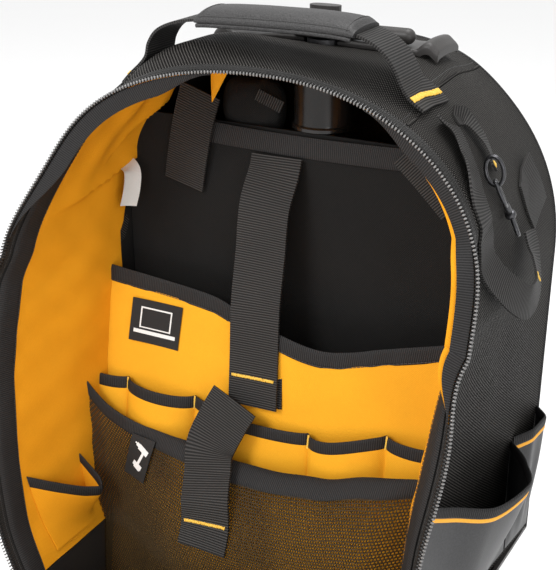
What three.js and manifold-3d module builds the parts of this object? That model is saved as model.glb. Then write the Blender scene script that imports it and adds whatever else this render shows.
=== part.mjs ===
// Wheeled tool backpack, opened, with its front flap dropped on the floor.
// Millimetres. X is to the bag's left hand as worn, the opening faces -Y, +Z is up.
// The origin lies on the flat underside of the base.
import * as THREE from 'three';
import { mergeVertices } from 'three/addons/utils/BufferGeometryUtils.js';
import Module from 'manifold-3d';

const wasm = await Module();
wasm.setup();

// Main form
const HALF_WIDTH = 172;
const RIM_HEIGHT = 500;
const BACK_RISE = 3;
const SPRING_HEIGHT = 340;
const BACK_Y = 180;
const FRONT_LEAN = 120;
const ARCH_POWER = 2.15;
const ARCH_SPREAD_LEFT = 1.249;
const ARCH_SPREAD_RIGHT = 1.122;
const LEFT_SHOULDER_DIP = 0.104;
const SIDE_SHARE = 0.32;
const TRAY_HEIGHT = 75;
const GAP = 0.3;

// How far the rim stands out against the back, level 0 at the base and 1 where the arch springs.
const LEFT_SPREAD = [
  { level: 0, spread: 0.977 },
  { level: 0.17, spread: 1.14 },
  { level: 0.4, spread: 1.244 },
  { level: 0.66, spread: 1.302 },
  { level: 0.89, spread: 1.29 },
  { level: 1, spread: 1.227 },
];
const RIGHT_SPREAD = [
  { level: 0, spread: 0.93 },
  { level: 0.45, spread: 0.953 },
  { level: 0.63, spread: 0.988 },
  { level: 0.85, spread: 1.047 },
  { level: 0.93, spread: 1.08 },
  { level: 1, spread: 1.122 },
];
const LIP_FLARE = 26;
const LIP_SHARE = 0.13;
const LIP_TOP = RIM_HEIGHT - 68;

// The right rim is drawn in where the arch springs, over these heights above and below it
const RIGHT_DENT = 16;
const DENT_ABOVE = 75;
const DENT_BELOW = 50;

// Cloth layers
const CLOTH = 2;
const LINING = 1;
const TAPE = 1.5;
const TAPE_WIDTH = 12;
const BINDING = 2.2;
const BINDING_START = 9;
const BINDING_END = 30;
const SEAM_LEFT = 0.433;
const SEAM_RIGHT = 0.567;

// How deep the yellow lining runs at each share u of the way round; black lining takes over there.
const YELLOW_ROWS = [
  { u: 0, y: 70 },
  { u: 0.31, y: 72 },
  { u: 0.36, y: 92 },
  { u: 0.4, y: 98 },
  { u: 1, y: 98 },
];

// Base and wheels
const TRAY_WALL = 3;
const TRAY_FLOOR = 4;
const BACK_PAD = 4;
const WHEEL_R = 34;
const WHEEL_WIDTH = 24;
const WHEEL_X = 134;
const WHEEL_Y = 152;
const HUB_R = 25;
const AXLE_R = 5;
const RUN_CLEAR = 0.3;
const WELL_MARGIN = 4;

// Pulling handle
const POLE_Y = 108;
const POLE_OUTER_R = 17;
const POLE_WALL = 1.3;
const STAGE_STEP = 1.6;
const HOUSING_R = 23.5;
const HOUSING_LONG = 56.6;
const HOUSING_TOP = RIM_HEIGHT - 2.4;
const HOUSING_LOW = HOUSING_TOP - HOUSING_LONG;
const FLANGE_R = 25.5;
const FLANGE_H = 4;
const POLE_OUTER_TOP = HOUSING_LOW - FLANGE_H - GAP;
const MID_BOTTOM = 30;
const MID_TOP = POLE_OUTER_TOP - 2.7;
const INNER_BOTTOM = 44;
const GRIP_BOTTOM = RIM_HEIGHT + 7;
const GRIP_BAR_R = 6;
const GRIP_BAR_HALF = 70;
const HUB_HALF_X = 23;
const HUB_HALF_Y = 11.5;
const HUB_HIGH = 16;
const HUB_TOP = GRIP_BOTTOM + HUB_HIGH;
const BUTTON_HALF_X = 12.5;
const BUTTON_HALF_Y = 6;
const BUTTON_RISE = 8;
const BUTTON_SUNK = 2;
const BUTTON_TOP = HUB_TOP + BUTTON_RISE;
const BUTTON_DEEP = BUTTON_RISE + BUTTON_SUNK;

// Carry handle
const HANDLE_Y = 46;
const HANDLE_WEB = 38;
const WEB = 2;
const GRIP_WIDTH = 46;
const GRIP_THICK = 13;

// Inside panels
const REAR_Y = 86;
const REAR_TOP = RIM_HEIGHT - 63;
const REAR_THICK = 3;
const DIVIDER_TOP_Y = 60;
const DIVIDER_LEAN = 0.16;
const DIVIDER_REF_Z = 300;
const FLOOR_CLEAR = 6;
const SHEET = 1;
const DIVIDER_BINDING = 14;
const POCKET_BINDING = 11;
const MESH_BINDING = 13;
const BIND_THICK = 2.2;

// Straps
const HOLD_WEB = 44;
const GEAR_WEB = 25;

const COLOURS = {
  cloth: 0x2d2b2a,
  yellow: 0xeba528,
  tape: 0x1f1e1e,
  web: 0x323030,
  leather: 0x464446,
  plastic: 0x2a2828,
  coated: 0x38383a,
  net: 0x3a3026,
  metal: 0x4a4a4c,
  pole: 0x3a3432,
  rubber: 0x1c1c1c,
  white: 0xe6e6e2,
  label: 0x4b4b4b,
};

const group = new THREE.Group();
group.name = 'tool_backpack';

const V = (x, y, z) => new THREE.Vector3(x, y, z);

function look(rows, key, at, value) {
  if (at <= rows[0][key]) return rows[0][value];
  for (let k = 1; k < rows.length; k += 1) {
    if (at <= rows[k][key]) {
      const low = rows[k - 1];
      const high = rows[k];
      const share = (at - low[key]) / (high[key] - low[key]);
      return low[value] + (high[value] - low[value]) * share;
    }
  }
  return rows[rows.length - 1][value];
}

function smooth(t) {
  const c = Math.min(1, Math.max(0, t));
  return c * c * (3 - 2 * c);
}

function rimY(z) {
  return -FRONT_LEAN * (1 - z / RIM_HEIGHT);
}

// Soft rolls of the top cloth under the two feet of the carry handle
const shoulderRolls = [
  { u: 0.453, spread: 0.038, rise: 18, start: 0, full: 0.22, fall: 0.4, end: 0.66, left: 0 },
  { u: 0.557, spread: 0.027, rise: 13, start: 0.12, full: 0.42, fall: 0.6, end: 1, left: 0.3 },
];
function rollRise(u, v) {
  let rise = 0;
  for (const roll of shoulderRolls) {
    const grown = smooth((v - roll.start) / (roll.full - roll.start));
    const lost = (1 - roll.left) * smooth((v - roll.fall) / (roll.end - roll.fall));
    rise += roll.rise * Math.exp(-(((u - roll.u) / roll.spread) ** 2)) * grown * (1 - lost);
  }
  return rise;
}

// The outside of the cloth wall: u runs from low left over the top to low right, v from rim to back.
function wall(u, v) {
  let side;
  let z;
  let zBack;
  let rim;
  let back;
  if (u < SIDE_SHARE || u > 1 - SIDE_SHARE) {
    side = u < 0.5 ? -1 : 1;
    const level = (side < 0 ? u : 1 - u) / SIDE_SHARE;
    z = TRAY_HEIGHT + (SPRING_HEIGHT - TRAY_HEIGHT) * level;
    zBack = z;
    rim = HALF_WIDTH * look(side < 0 ? LEFT_SPREAD : RIGHT_SPREAD, 'level', level, 'spread');
    back = HALF_WIDTH;
  } else {
    const angle = Math.PI * (1 - (u - SIDE_SHARE) / (1 - 2 * SIDE_SHARE));
    const c = Math.cos(angle);
    const s = Math.max(0, Math.sin(angle));
    side = c >= 0 ? 1 : -1;
    const across = Math.abs(c) ** (2 / ARCH_POWER);
    const up = s ** (2 / ARCH_POWER);
    z = SPRING_HEIGHT + (RIM_HEIGHT - SPRING_HEIGHT) * up;
    zBack = SPRING_HEIGHT + (RIM_HEIGHT + BACK_RISE - SPRING_HEIGHT) * up;
    rim = HALF_WIDTH * (side > 0 ? ARCH_SPREAD_RIGHT : ARCH_SPREAD_LEFT) * across;
    if (side < 0) rim *= 1 - LEFT_SHOULDER_DIP * Math.exp(-(((up - 0.495) / 0.373) ** 2));
    back = HALF_WIDTH * across;
  }
  let flare;
  let share;
  let power;
  if (side > 0) {
    const far = (z - SPRING_HEIGHT) / (z > SPRING_HEIGHT ? DENT_ABOVE : DENT_BELOW);
    const dent = RIGHT_DENT * Math.exp(-(far ** 2));
    rim -= dent;
    flare = LIP_FLARE * smooth((LIP_TOP - z) / 50) * (1 - 0.3 * smooth((300 - z) / 200));
    flare = Math.max(0, flare - dent);
    share = LIP_SHARE;
    power = 1.4;
  } else {
    flare = Math.min(45, Math.max(0, rim - HALF_WIDTH * 1.04)) * smooth((LIP_TOP - z) / 60);
    share = 0.6;
    power = 1.3;
  }
  const neck = rim - flare;
  const x = neck + (back - neck) * v + flare * Math.max(0, 1 - v / share) ** power;
  const y = rimY(z) + (BACK_Y - rimY(z)) * v;
  return V(side * x, y, z + (zBack - z) * v + rollRise(u, v));
}

const STEP = 0.0015;

// A point a given depth inside the wall's outer surface.
function shell(u, v, depth) {
  const p = wall(u, v);
  if (depth === 0) return p;
  const du = wall(Math.min(1, u + STEP), v).sub(wall(Math.max(0, u - STEP), v));
  const dv = wall(u, v + STEP).sub(wall(u, v - STEP));
  const n = du.cross(dv).normalize();
  const outward = V(p.x, 0, Math.max(0, p.z - SPRING_HEIGHT));
  if (n.dot(outward) < 0) n.negate();
  return p.addScaledVector(n, -depth);
}

// The share v at which a strip that starts at the rim has the given width.
function rimShare(u, width) {
  let length = 0;
  let v = 0;
  let last = wall(u, 0);
  const pace = 0.004;
  while (length < width) {
    const next = wall(u, v + pace);
    const run = next.distanceTo(last);
    if (length + run >= width) return v + (pace * (width - length)) / run;
    length += run;
    v += pace;
    last = next;
  }
  return v;
}

function shareAtY(u, y) {
  const start = wall(u, 0).y;
  return (y - start) / (BACK_Y - start);
}

// The point of the wall, at a depth, that has the given y and z on one side of the bag.
function wallAt(side, y, z, depth) {
  let u = side < 0 ? 0.2 : 0.8;
  let v = 0.5;
  for (let k = 0; k < 10; k += 1) {
    const p = shell(u, v, depth);
    const pu = shell(u + STEP, v, depth);
    const pv = shell(u, v + STEP, depth);
    const zu = (pu.z - p.z) / STEP;
    const yv = (pv.y - p.y) / STEP;
    u += Math.max(-0.08, Math.min(0.08, (z - p.z) / zu));
    u = side < 0 ? Math.min(0.49, Math.max(0, u)) : Math.max(0.51, Math.min(1 - STEP, u));
    v = Math.min(1.2, Math.max(-0.1, v + (y - p.y) / yv));
  }
  return shell(u, v, depth);
}

function wallX(side, y, z, depth) {
  const spare = 1.2 * smooth((110 - z) / 20);
  return wallAt(side, y, Math.max(z, TRAY_HEIGHT + 0.5), depth + spare).x;
}

function signedVolume(position, index) {
  const a = new THREE.Vector3();
  const b = new THREE.Vector3();
  const c = new THREE.Vector3();
  let total = 0;
  for (let k = 0; k < index.length; k += 3) {
    a.fromArray(position, index[k] * 3);
    b.fromArray(position, index[k + 1] * 3);
    c.fromArray(position, index[k + 2] * 3);
    total += a.dot(b.cross(c));
  }
  return total / 6;
}

function toGeometry(position, index) {
  if (signedVolume(position, index) < 0) {
    for (let k = 0; k < index.length; k += 3) {
      const first = index[k];
      index[k] = index[k + 1];
      index[k + 1] = first;
    }
  }
  const geometry = new THREE.BufferGeometry();
  geometry.setAttribute('position', new THREE.Float32BufferAttribute(position, 3));
  geometry.setIndex(index);
  geometry.computeVertexNormals();
  return geometry;
}

// A closed skin between two grids of points that share their counts.
function skin(nu, nv, near, far) {
  const position = [];
  const index = [];
  for (const face of [near, far]) {
    for (let i = 0; i <= nu; i += 1) {
      for (let j = 0; j <= nv; j += 1) {
        const p = face(i / nu, j / nv);
        position.push(p.x, p.y, p.z);
      }
    }
  }
  const half = (nu + 1) * (nv + 1);
  const at = (i, j) => i * (nv + 1) + j;
  const quad = (a, b, c, d) => index.push(a, b, c, a, c, d);
  for (let i = 0; i < nu; i += 1) {
    for (let j = 0; j < nv; j += 1) {
      quad(at(i, j), at(i + 1, j), at(i + 1, j + 1), at(i, j + 1));
      quad(half + at(i, j), half + at(i, j + 1), half + at(i + 1, j + 1), half + at(i + 1, j));
    }
  }
  for (let i = 0; i < nu; i += 1) {
    quad(at(i + 1, 0), at(i, 0), half + at(i, 0), half + at(i + 1, 0));
    quad(at(i, nv), at(i + 1, nv), half + at(i + 1, nv), half + at(i, nv));
  }
  for (let j = 0; j < nv; j += 1) {
    quad(at(0, j), at(0, j + 1), half + at(0, j + 1), half + at(0, j));
    quad(at(nu, j + 1), at(nu, j), half + at(nu, j), half + at(nu, j + 1));
  }
  return toGeometry(position, index);
}

// A skin laid both ways off a middle surface, along the surface's own normal.
function plate(nu, nv, middle, front, back) {
  const offset = (s, t, by) => {
    const h = 0.002;
    const sa = Math.max(0, s - h);
    const sb = Math.min(1, s + h);
    const ta = Math.max(0, t - h);
    const tb = Math.min(1, t + h);
    const ds = middle(sb, t).sub(middle(sa, t));
    const dt = middle(s, tb).sub(middle(s, ta));
    return middle(s, t).addScaledVector(ds.cross(dt).normalize(), by);
  };
  return skin(nu, nv, (s, t) => offset(s, t, front), (s, t) => offset(s, t, back));
}

// The same for a sheet whose rows are named one by one; it is laid off along Y only.
function laid(nu, nv, middle, half) {
  return skin(nu, nv, (s, t) => middle(s, t).add(V(0, -half, 0)),
    (s, t) => middle(s, t).add(V(0, half, 0)));
}

// A flat strap of even width along a line of points; facing gives the side its broad face looks to.
function strap(points, width, thickness, facing, pieces) {
  const curve = new THREE.CatmullRomCurve3(points, false, 'centripetal');
  const frame = (s) => {
    const p = curve.getPointAt(s);
    const along = curve.getTangentAt(s);
    const out = facing(p, s);
    const across = along.clone().cross(out).normalize();
    const normal = across.clone().cross(along).normalize();
    return { p, across, normal };
  };
  const face = (s, t, by) => {
    const { p, across, normal } = frame(s);
    return p.addScaledVector(across, (t - 0.5) * width).addScaledVector(normal, by);
  };
  const half = thickness / 2;
  return skin(pieces, 1, (s, t) => face(s, t, half), (s, t) => face(s, t, -half));
}

function toSolid(geometry) {
  const bare = new THREE.BufferGeometry();
  bare.setAttribute('position', geometry.getAttribute('position').clone());
  if (geometry.index) bare.setIndex(geometry.index.clone());
  const merged = mergeVertices(bare, 1e-4);
  const mesh = new wasm.Mesh({
    numProp: 3,
    vertProperties: new Float32Array(merged.getAttribute('position').array),
    triVerts: new Uint32Array(merged.index.array),
  });
  return new wasm.Manifold(mesh);
}

function fromSolid(solid) {
  const mesh = solid.getMesh();
  return toGeometry(Array.from(mesh.vertProperties), Array.from(mesh.triVerts));
}

function placed(geometry, x, y, z) {
  return geometry.clone().translate(x, y, z);
}

function box(x0, x1, y0, y1, z0, z1) {
  const g = new THREE.BoxGeometry(x1 - x0, y1 - y0, z1 - z0);
  return g.translate((x0 + x1) / 2, (y0 + y1) / 2, (z0 + z1) / 2);
}

// An upright round bar with its foot at z0.
function bar(r, z0, z1, x, y, sides) {
  const g = new THREE.CylinderGeometry(r, r, z1 - z0, sides);
  return g.rotateX(Math.PI / 2).translate(x, y, (z0 + z1) / 2);
}

// A round bar along X.
function barX(r, x0, x1, y, z, sides) {
  const g = new THREE.CylinderGeometry(r, r, x1 - x0, sides);
  return g.rotateZ(Math.PI / 2).translate((x0 + x1) / 2, y, z);
}

// A ring turned about Z from a closed profile of radius and height pairs.
function turned(profile, sides) {
  const points = profile.map(([r, z]) => new THREE.Vector2(r, z));
  points.push(points[0].clone());
  const g = new THREE.LatheGeometry(points, sides);
  return fromSolid(toSolid(g.rotateX(Math.PI / 2)));
}

function prismY(outline, y0, y1) {
  const shape = new THREE.Shape(outline.map(([x, z]) => new THREE.Vector2(x, z)));
  const g = new THREE.ExtrudeGeometry(shape, { depth: y1 - y0, bevelEnabled: false });
  return g.rotateX(Math.PI / 2).translate(0, y1, 0);
}

function prismZ(outline, z0, z1) {
  const shape = new THREE.Shape(outline.map(([x, y]) => new THREE.Vector2(x, y)));
  const g = new THREE.ExtrudeGeometry(shape, { depth: z1 - z0, bevelEnabled: false });
  return g.translate(0, 0, z0);
}

function add(name, geometry, colour, roughness, metalness) {
  const material = new THREE.MeshStandardMaterial({ color: colour, roughness, metalness });
  material.name = `${name}_finish`;
  const mesh = new THREE.Mesh(geometry, material);
  mesh.name = name;
  group.add(mesh);
}

// Cloth shell, every layer cut on the same lines so that the layers stay parallel
function spaced(from, to, pieces) {
  const list = [];
  for (let k = 0; k <= pieces; k += 1) list.push(from + ((to - from) * k) / pieces);
  return list;
}
// The levels of a spread table and one between each two, so that its bends lie on cut lines
function sideLevels(rows) {
  const list = [rows[0].level];
  for (let k = 1; k < rows.length; k += 1) {
    list.push((rows[k - 1].level + rows[k].level) / 2, rows[k].level);
  }
  return list;
}
const SEAM_GAP = 0.00018;
const SHOULDER_LINES = 8;
const TOP_LINES = 4;
const leftLines = [
  ...sideLevels(LEFT_SPREAD).slice(0, -1).map((level) => level * SIDE_SHARE),
  ...spaced(SIDE_SHARE, SEAM_LEFT, SHOULDER_LINES).slice(0, -1),
];
const topLines = [
  ...spaced(SEAM_LEFT, 0.5, TOP_LINES).slice(1, -1), 0.5,
  ...spaced(0.5, SEAM_RIGHT, TOP_LINES).slice(1, -1),
];
const rightLines = [
  ...spaced(SEAM_RIGHT, 1 - SIDE_SHARE, SHOULDER_LINES).slice(1),
  ...sideLevels(RIGHT_SPREAD).slice(0, -1).reverse().map((level) => 1 - level * SIDE_SHARE),
];
const allLines = [...leftLines, SEAM_LEFT, ...topLines, SEAM_RIGHT, ...rightLines];
const atWidth = (width) => (u) => rimShare(u, width);
const atY = (y) => (u) => shareAtY(u, y);
const yellowEnd = (more) => (u) => shareAtY(u, look(YELLOW_ROWS, 'u', u, 'y') + more);
const betweenLines = (u) => (rimShare(u, BINDING_END) + yellowEnd(0)(u)) / 2;

function shellPiece(lines, rows, outer, inner) {
  const at = (s, t, depth) => {
    const u = lines[Math.round(s * (lines.length - 1))];
    return shell(u, rows[Math.round(t * (rows.length - 1))](u), depth);
  };
  return skin(lines.length - 1, rows.length - 1, (s, t) => at(s, t, outer),
    (s, t) => at(s, t, inner));
}

const clothRows = [
  atWidth(TAPE_WIDTH + GAP), atWidth(21), atWidth(BINDING_END), betweenLines,
  yellowEnd(0), () => 1,
];
const liningRows = [atWidth(BINDING_END + GAP), betweenLines, yellowEnd(0)];
const rearRows = [yellowEnd(GAP), atY(BACK_Y - 1)];
const tapeRows = [() => 0, atWidth(4.5), atWidth(BINDING_START), atWidth(TAPE_WIDTH)];
const bindingRows = [
  atWidth(BINDING_START), atWidth(TAPE_WIDTH), atWidth(21), atWidth(BINDING_END),
];
const wallRows = [() => 0, ...bindingRows.slice(0, 3), ...clothRows.slice(2)];
// The wall with its working gap, taken off whatever stands on the outside of the bag
const keepClear = toSolid(shellPiece(allLines, wallRows, -GAP, CLOTH + 8));
const onWall = (geometry) => fromSolid(toSolid(geometry).subtract(keepClear));
const poleHole = toSolid(bar(POLE_OUTER_R - 0.8, HOUSING_LOW - 1, HUB_TOP + 37, 0, POLE_Y, 20));
const liningOuter = CLOTH + GAP;
const liningInner = liningOuter + LINING;
const clothParts = [
  { name: 'left', lines: [...leftLines, SEAM_LEFT - SEAM_GAP] },
  { name: 'top', lines: [SEAM_LEFT + SEAM_GAP, ...topLines, SEAM_RIGHT - SEAM_GAP] },
  { name: 'right', lines: [SEAM_RIGHT + SEAM_GAP, ...rightLines] },
];
for (const part of clothParts) {
  const cloth = toSolid(shellPiece(part.lines, clothRows, 0, CLOTH)).subtract(poleHole);
  add(`gusset_${part.name}`, fromSolid(cloth), COLOURS.cloth, 0.85, 0);
}
const liningParts = [
  { name: 'left', lines: [...allLines.filter((u) => u < 0.5), 0.5 - SEAM_GAP] },
  { name: 'right', lines: [0.5 + SEAM_GAP, ...allLines.filter((u) => u > 0.5)] },
];
for (const part of liningParts) {
  const cloth = shellPiece(part.lines, liningRows, liningOuter, liningInner);
  add(`lining_${part.name}`, fromSolid(toSolid(cloth).subtract(poleHole)),
    COLOURS.yellow, 0.8, 0);
}
const rearLining = toSolid(shellPiece(allLines, rearRows, liningOuter, liningInner));
add('lining_rear', fromSolid(rearLining.subtract(poleHole)), COLOURS.cloth, 0.85, 0);
add('zip_tape', shellPiece(allLines, tapeRows, 0, TAPE), COLOURS.tape, 0.7, 0);
add('rim_binding', shellPiece(allLines, bindingRows, liningOuter, liningOuter + BINDING),
  COLOURS.tape, 0.8, 0);

// Padded back panel
const backOutline = [];
for (let k = 0; k <= 48; k += 1) {
  const p = wall(k / 48, 1);
  backOutline.push([p.x, Math.max(p.z, TRAY_HEIGHT + GAP)]);
}
const backFront = BACK_Y + GAP;
add('back_panel', prismY(backOutline, backFront, backFront + BACK_PAD), COLOURS.cloth, 0.9, 0);

// Base tray with wheel wells
function trayOutline(inset) {
  const frontLeft = wall(0, 0);
  const frontRight = wall(1, 0);
  const y0 = frontLeft.y + inset;
  const y1 = backFront + BACK_PAD - inset;
  const r = 12 - inset;
  const xl0 = frontLeft.x + inset;
  const xr0 = frontRight.x - inset;
  const xb = HALF_WIDTH - inset;
  return [
    [xl0, y0 + r], [xl0 + r * 0.3, y0 + r * 0.3], [xl0 + r, y0],
    [xr0 - r, y0], [xr0 - r * 0.3, y0 + r * 0.3], [xr0, y0 + r],
    [xb, y1], [-xb, y1],
  ];
}
const trayTop = TRAY_HEIGHT - GAP;
const wellIn = WHEEL_X - WHEEL_WIDTH / 2 - WELL_MARGIN;
const wellFront = WHEEL_Y - WHEEL_R - WELL_MARGIN;
const wellTop = WHEEL_R * 2 + 3;
let tray = toSolid(prismZ(trayOutline(0), 0, trayTop));
let trayCavity = toSolid(prismZ(trayOutline(TRAY_WALL), TRAY_FLOOR, trayTop + 10));
for (const side of [-1, 1]) {
  const x0 = side < 0 ? -HALF_WIDTH - 20 : wellIn;
  const x1 = side < 0 ? -wellIn : HALF_WIDTH + 20;
  const w = TRAY_WALL;
  const roof = toSolid(box(x0 - w, x1 + w, wellFront - w, BACK_Y + 20, -5, wellTop + w));
  trayCavity = trayCavity.subtract(roof);
  tray = tray.subtract(toSolid(box(x0, x1, wellFront, BACK_Y + 20, -5, wellTop)));
}
add('base_tray', fromSolid(tray.subtract(trayCavity)), COLOURS.plastic, 0.55, 0);

// Wheels
const wheelProfile = [
  [AXLE_R + RUN_CLEAR, -WHEEL_WIDTH / 2], [11, -WHEEL_WIDTH / 2], [12, -WHEEL_WIDTH / 2 + 5],
  [HUB_R, -WHEEL_WIDTH / 2 + 4], [HUB_R + 1, -WHEEL_WIDTH / 2 + 1],
  [WHEEL_R - 4, -WHEEL_WIDTH / 2], [WHEEL_R - 1, -WHEEL_WIDTH / 2 + 3],
  [WHEEL_R, -WHEEL_WIDTH / 4], [WHEEL_R, WHEEL_WIDTH / 4],
  [WHEEL_R - 1, WHEEL_WIDTH / 2 - 3], [WHEEL_R - 4, WHEEL_WIDTH / 2],
  [HUB_R + 1, WHEEL_WIDTH / 2 - 1], [HUB_R, WHEEL_WIDTH / 2 - 4], [12, WHEEL_WIDTH / 2 - 5],
  [11, WHEEL_WIDTH / 2], [AXLE_R + RUN_CLEAR, WHEEL_WIDTH / 2],
];
for (const side of [-1, 1]) {
  const name = side < 0 ? 'left' : 'right';
  const turn = (g) => g.rotateY(Math.PI / 2).translate(side * WHEEL_X, WHEEL_Y, WHEEL_R);
  add(`wheel_${name}`, turn(turned(wheelProfile, 22)), COLOURS.rubber, 0.8, 0);
  const near = wellIn + GAP;
  const far = WHEEL_X + WHEEL_WIDTH / 2 + 0.8;
  const pin = barX(AXLE_R, near, far, WHEEL_Y, WHEEL_R, 16);
  const collar = barX(8, near, WHEEL_X - WHEEL_WIDTH / 2 - 0.6, WHEEL_Y, WHEEL_R, 16);
  const head = barX(9, far - 0.01, far + 3, WHEEL_Y, WHEEL_R, 16);
  let axle = toSolid(pin).add(toSolid(collar)).add(toSolid(head));
  if (side < 0) axle = axle.mirror([1, 0, 0]);
  add(`axle_${name}`, fromSolid(axle), COLOURS.metal, 0.4, 0.8);
}

// Pulling handle
const outerProfile = [
  [POLE_OUTER_R - POLE_WALL, TRAY_FLOOR + GAP], [POLE_OUTER_R, TRAY_FLOOR + GAP],
  [POLE_OUTER_R, POLE_OUTER_TOP], [POLE_OUTER_R - POLE_WALL, POLE_OUTER_TOP],
];
const midR = POLE_OUTER_R - STAGE_STEP;
const midProfile = [
  [midR - POLE_WALL, MID_BOTTOM], [midR, MID_BOTTOM], [midR, MID_TOP], [midR - POLE_WALL, MID_TOP],
];
const innerR = midR - STAGE_STEP;
const innerTop = GRIP_BOTTOM - GAP;
const innerProfile = [
  [innerR - POLE_WALL, INNER_BOTTOM], [innerR, INNER_BOTTOM],
  [innerR, innerTop], [innerR - POLE_WALL, innerTop],
];
const housingProfile = [
  [midR + GAP, HOUSING_LOW - FLANGE_H], [FLANGE_R, HOUSING_LOW - FLANGE_H],
  [FLANGE_R, HOUSING_LOW], [HOUSING_R, HOUSING_LOW + 1.5], [HOUSING_R, HOUSING_TOP],
  [midR + GAP, HOUSING_TOP],
];
const poleParts = [
  { name: 'pole_outer', profile: outerProfile, colour: COLOURS.pole, metal: 0.6, rough: 0.3 },
  { name: 'pole_mid', profile: midProfile, colour: COLOURS.metal, metal: 0.8, rough: 0.35 },
  { name: 'pole_inner', profile: innerProfile, colour: COLOURS.metal, metal: 0.8, rough: 0.35 },
  { name: 'pole_housing', profile: housingProfile, colour: COLOURS.pole, metal: 0, rough: 0.25 },
];
for (const part of poleParts) {
  const g = turned(part.profile, 20).translate(0, POLE_Y, 0);
  add(part.name, g, part.colour, part.rough, part.metal);
}

const gripMiddle = GRIP_BOTTOM + GRIP_BAR_R;
const hub = toSolid(box(-HUB_HALF_X, HUB_HALF_X, POLE_Y - HUB_HALF_Y, POLE_Y + HUB_HALF_Y,
  GRIP_BOTTOM, HUB_TOP));
const gripBar = toSolid(
  new THREE.CapsuleGeometry(GRIP_BAR_R, GRIP_BAR_HALF * 2 - GRIP_BAR_R, 3, 14)
    .rotateZ(Math.PI / 2).translate(0, POLE_Y, gripMiddle),
);
function oval(halfX, halfY) {
  const points = [];
  for (let k = 0; k < 28; k += 1) {
    const a = (k / 28) * Math.PI * 2;
    const c = Math.cos(a);
    const s = Math.sin(a);
    const x = halfX * Math.sign(c) * Math.abs(c) ** 0.7;
    points.push([x, POLE_Y + halfY * Math.sign(s) * Math.abs(s) ** 0.7]);
  }
  return points;
}
const buttonSeat = toSolid(prismZ(oval(BUTTON_HALF_X + GAP, BUTTON_HALF_Y + GAP),
  BUTTON_TOP - BUTTON_DEEP - 4, BUTTON_TOP + 5));
add('trolley_grip', fromSolid(hub.add(gripBar).subtract(buttonSeat)), COLOURS.plastic, 0.45, 0);
add('trolley_button',
  prismZ(oval(BUTTON_HALF_X, BUTTON_HALF_Y), BUTTON_TOP - BUTTON_DEEP, BUTTON_TOP),
  COLOURS.plastic, 0.4, 0);

// Plastic guard that the grip rests in, its two ends standing up beside the grip's bar
const GUARD_THICK = 6.5;
const GUARD_HORN = 11.5;
const guardColumns = [-94, -91, -86, -80, -74, -50, -25, 0, 25, 50, 74, 80, 86, 91, 94];
const guardRows = [
  { y: 100, rise: 2.6 },
  { y: 104, rise: 4.6 },
  { y: 120, rise: 5.6 },
  { y: 140, rise: 4.4 },
  { y: 144, rise: 2.4 },
];
function uAcross(x) {
  let low = SIDE_SHARE;
  let high = 1 - SIDE_SHARE;
  for (let k = 0; k < 30; k += 1) {
    const middle = (low + high) / 2;
    if (wall(middle, 0.7).x < x) low = middle;
    else high = middle;
  }
  return (low + high) / 2;
}
const guardXY = (s, t) => {
  const row = guardRows[Math.round(t * (guardRows.length - 1))];
  return { x: guardColumns[Math.round(s * (guardColumns.length - 1))], y: row.y };
};
function guardTop(x, y) {
  const rise = look(guardRows, 'y', y, 'rise');
  const horn = (GUARD_HORN - 5) * smooth((Math.abs(x) - 74) / 10);
  return RIM_HEIGHT + rise + horn - 5 * smooth((Math.abs(x) - 86) / 8);
}
const guardLow = (s, t) => {
  const { x, y } = guardXY(s, t);
  const u = uAcross(x);
  const cloth = shell(u, shareAtY(u, y), -GAP);
  return V(x, y, Math.max(cloth.z - 3, guardTop(x, y) - GUARD_THICK));
};
const guardHigh = (s, t) => {
  const { x, y } = guardXY(s, t);
  return V(x, y, Math.max(guardTop(x, y), guardLow(s, t).z + 4));
};
const guard = toSolid(skin(guardColumns.length - 1, guardRows.length - 1, guardLow, guardHigh));
const guardBore = toSolid(bar(POLE_OUTER_R - 0.8, HOUSING_LOW - 1, HUB_TOP + 37, 0, POLE_Y, 20));
add('trolley_guard', fromSolid(guard.subtract(guardBore).subtract(keepClear)),
  COLOURS.plastic, 0.45, 0);

// Carry handle
const handleRows = [
  { x: -128, rise: -26 },
  { x: -117, rise: -14 },
  { x: -110, rise: -4 },
  { x: -107, rise: 6 },
  { x: -100, rise: 15.5 },
  { x: -86, rise: 22.5 },
  { x: -64, rise: 26.5 },
  { x: -32, rise: 28 },
  { x: 0, rise: 28.5 },
  { x: 32, rise: 28.5 },
  { x: 60, rise: 26.5 },
  { x: 76, rise: 20.5 },
  { x: 86, rise: 12 },
  { x: 92, rise: 3 },
  { x: 96, rise: -5 },
  { x: 103, rise: -13 },
  { x: 110, rise: -20 },
];
const handleLine = handleRows.map((row) => V(row.x, HANDLE_Y, RIM_HEIGHT + row.rise));
for (const k of [0, 1, 15, 16]) {
  const near = handleLine[k];
  const side = near.x < 0 ? -1 : 1;
  const foot = wallAt(side, HANDLE_Y, near.z, -(WEB / 2 + GAP + 0.25));
  handleLine[k].copy(foot);
}
const awayFromCentre = (p) => V(p.x * 0.4, 0, Math.max(20, p.z - SPRING_HEIGHT));
function wallFacing(side, y, z) {
  return wallAt(side, y, z, 0).sub(wallAt(side, y, z, 2)).normalize();
}
const FOOT_DROP = 18;
const leftFoot = wallFacing(-1, HANDLE_Y, RIM_HEIGHT - FOOT_DROP);
const rightFoot = wallFacing(1, HANDLE_Y, RIM_HEIGHT - FOOT_DROP);
function handleFacing(p, s) {
  const share = smooth((Math.abs(s - 0.5) - 0.36) / 0.07);
  const foot = s < 0.5 ? leftFoot : rightFoot;
  return awayFromCentre(p).normalize().lerp(foot, share);
}
add('handle_webbing', onWall(strap(handleLine, HANDLE_WEB, WEB, handleFacing, 34)),
  COLOURS.web, 0.8, 0);

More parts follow.
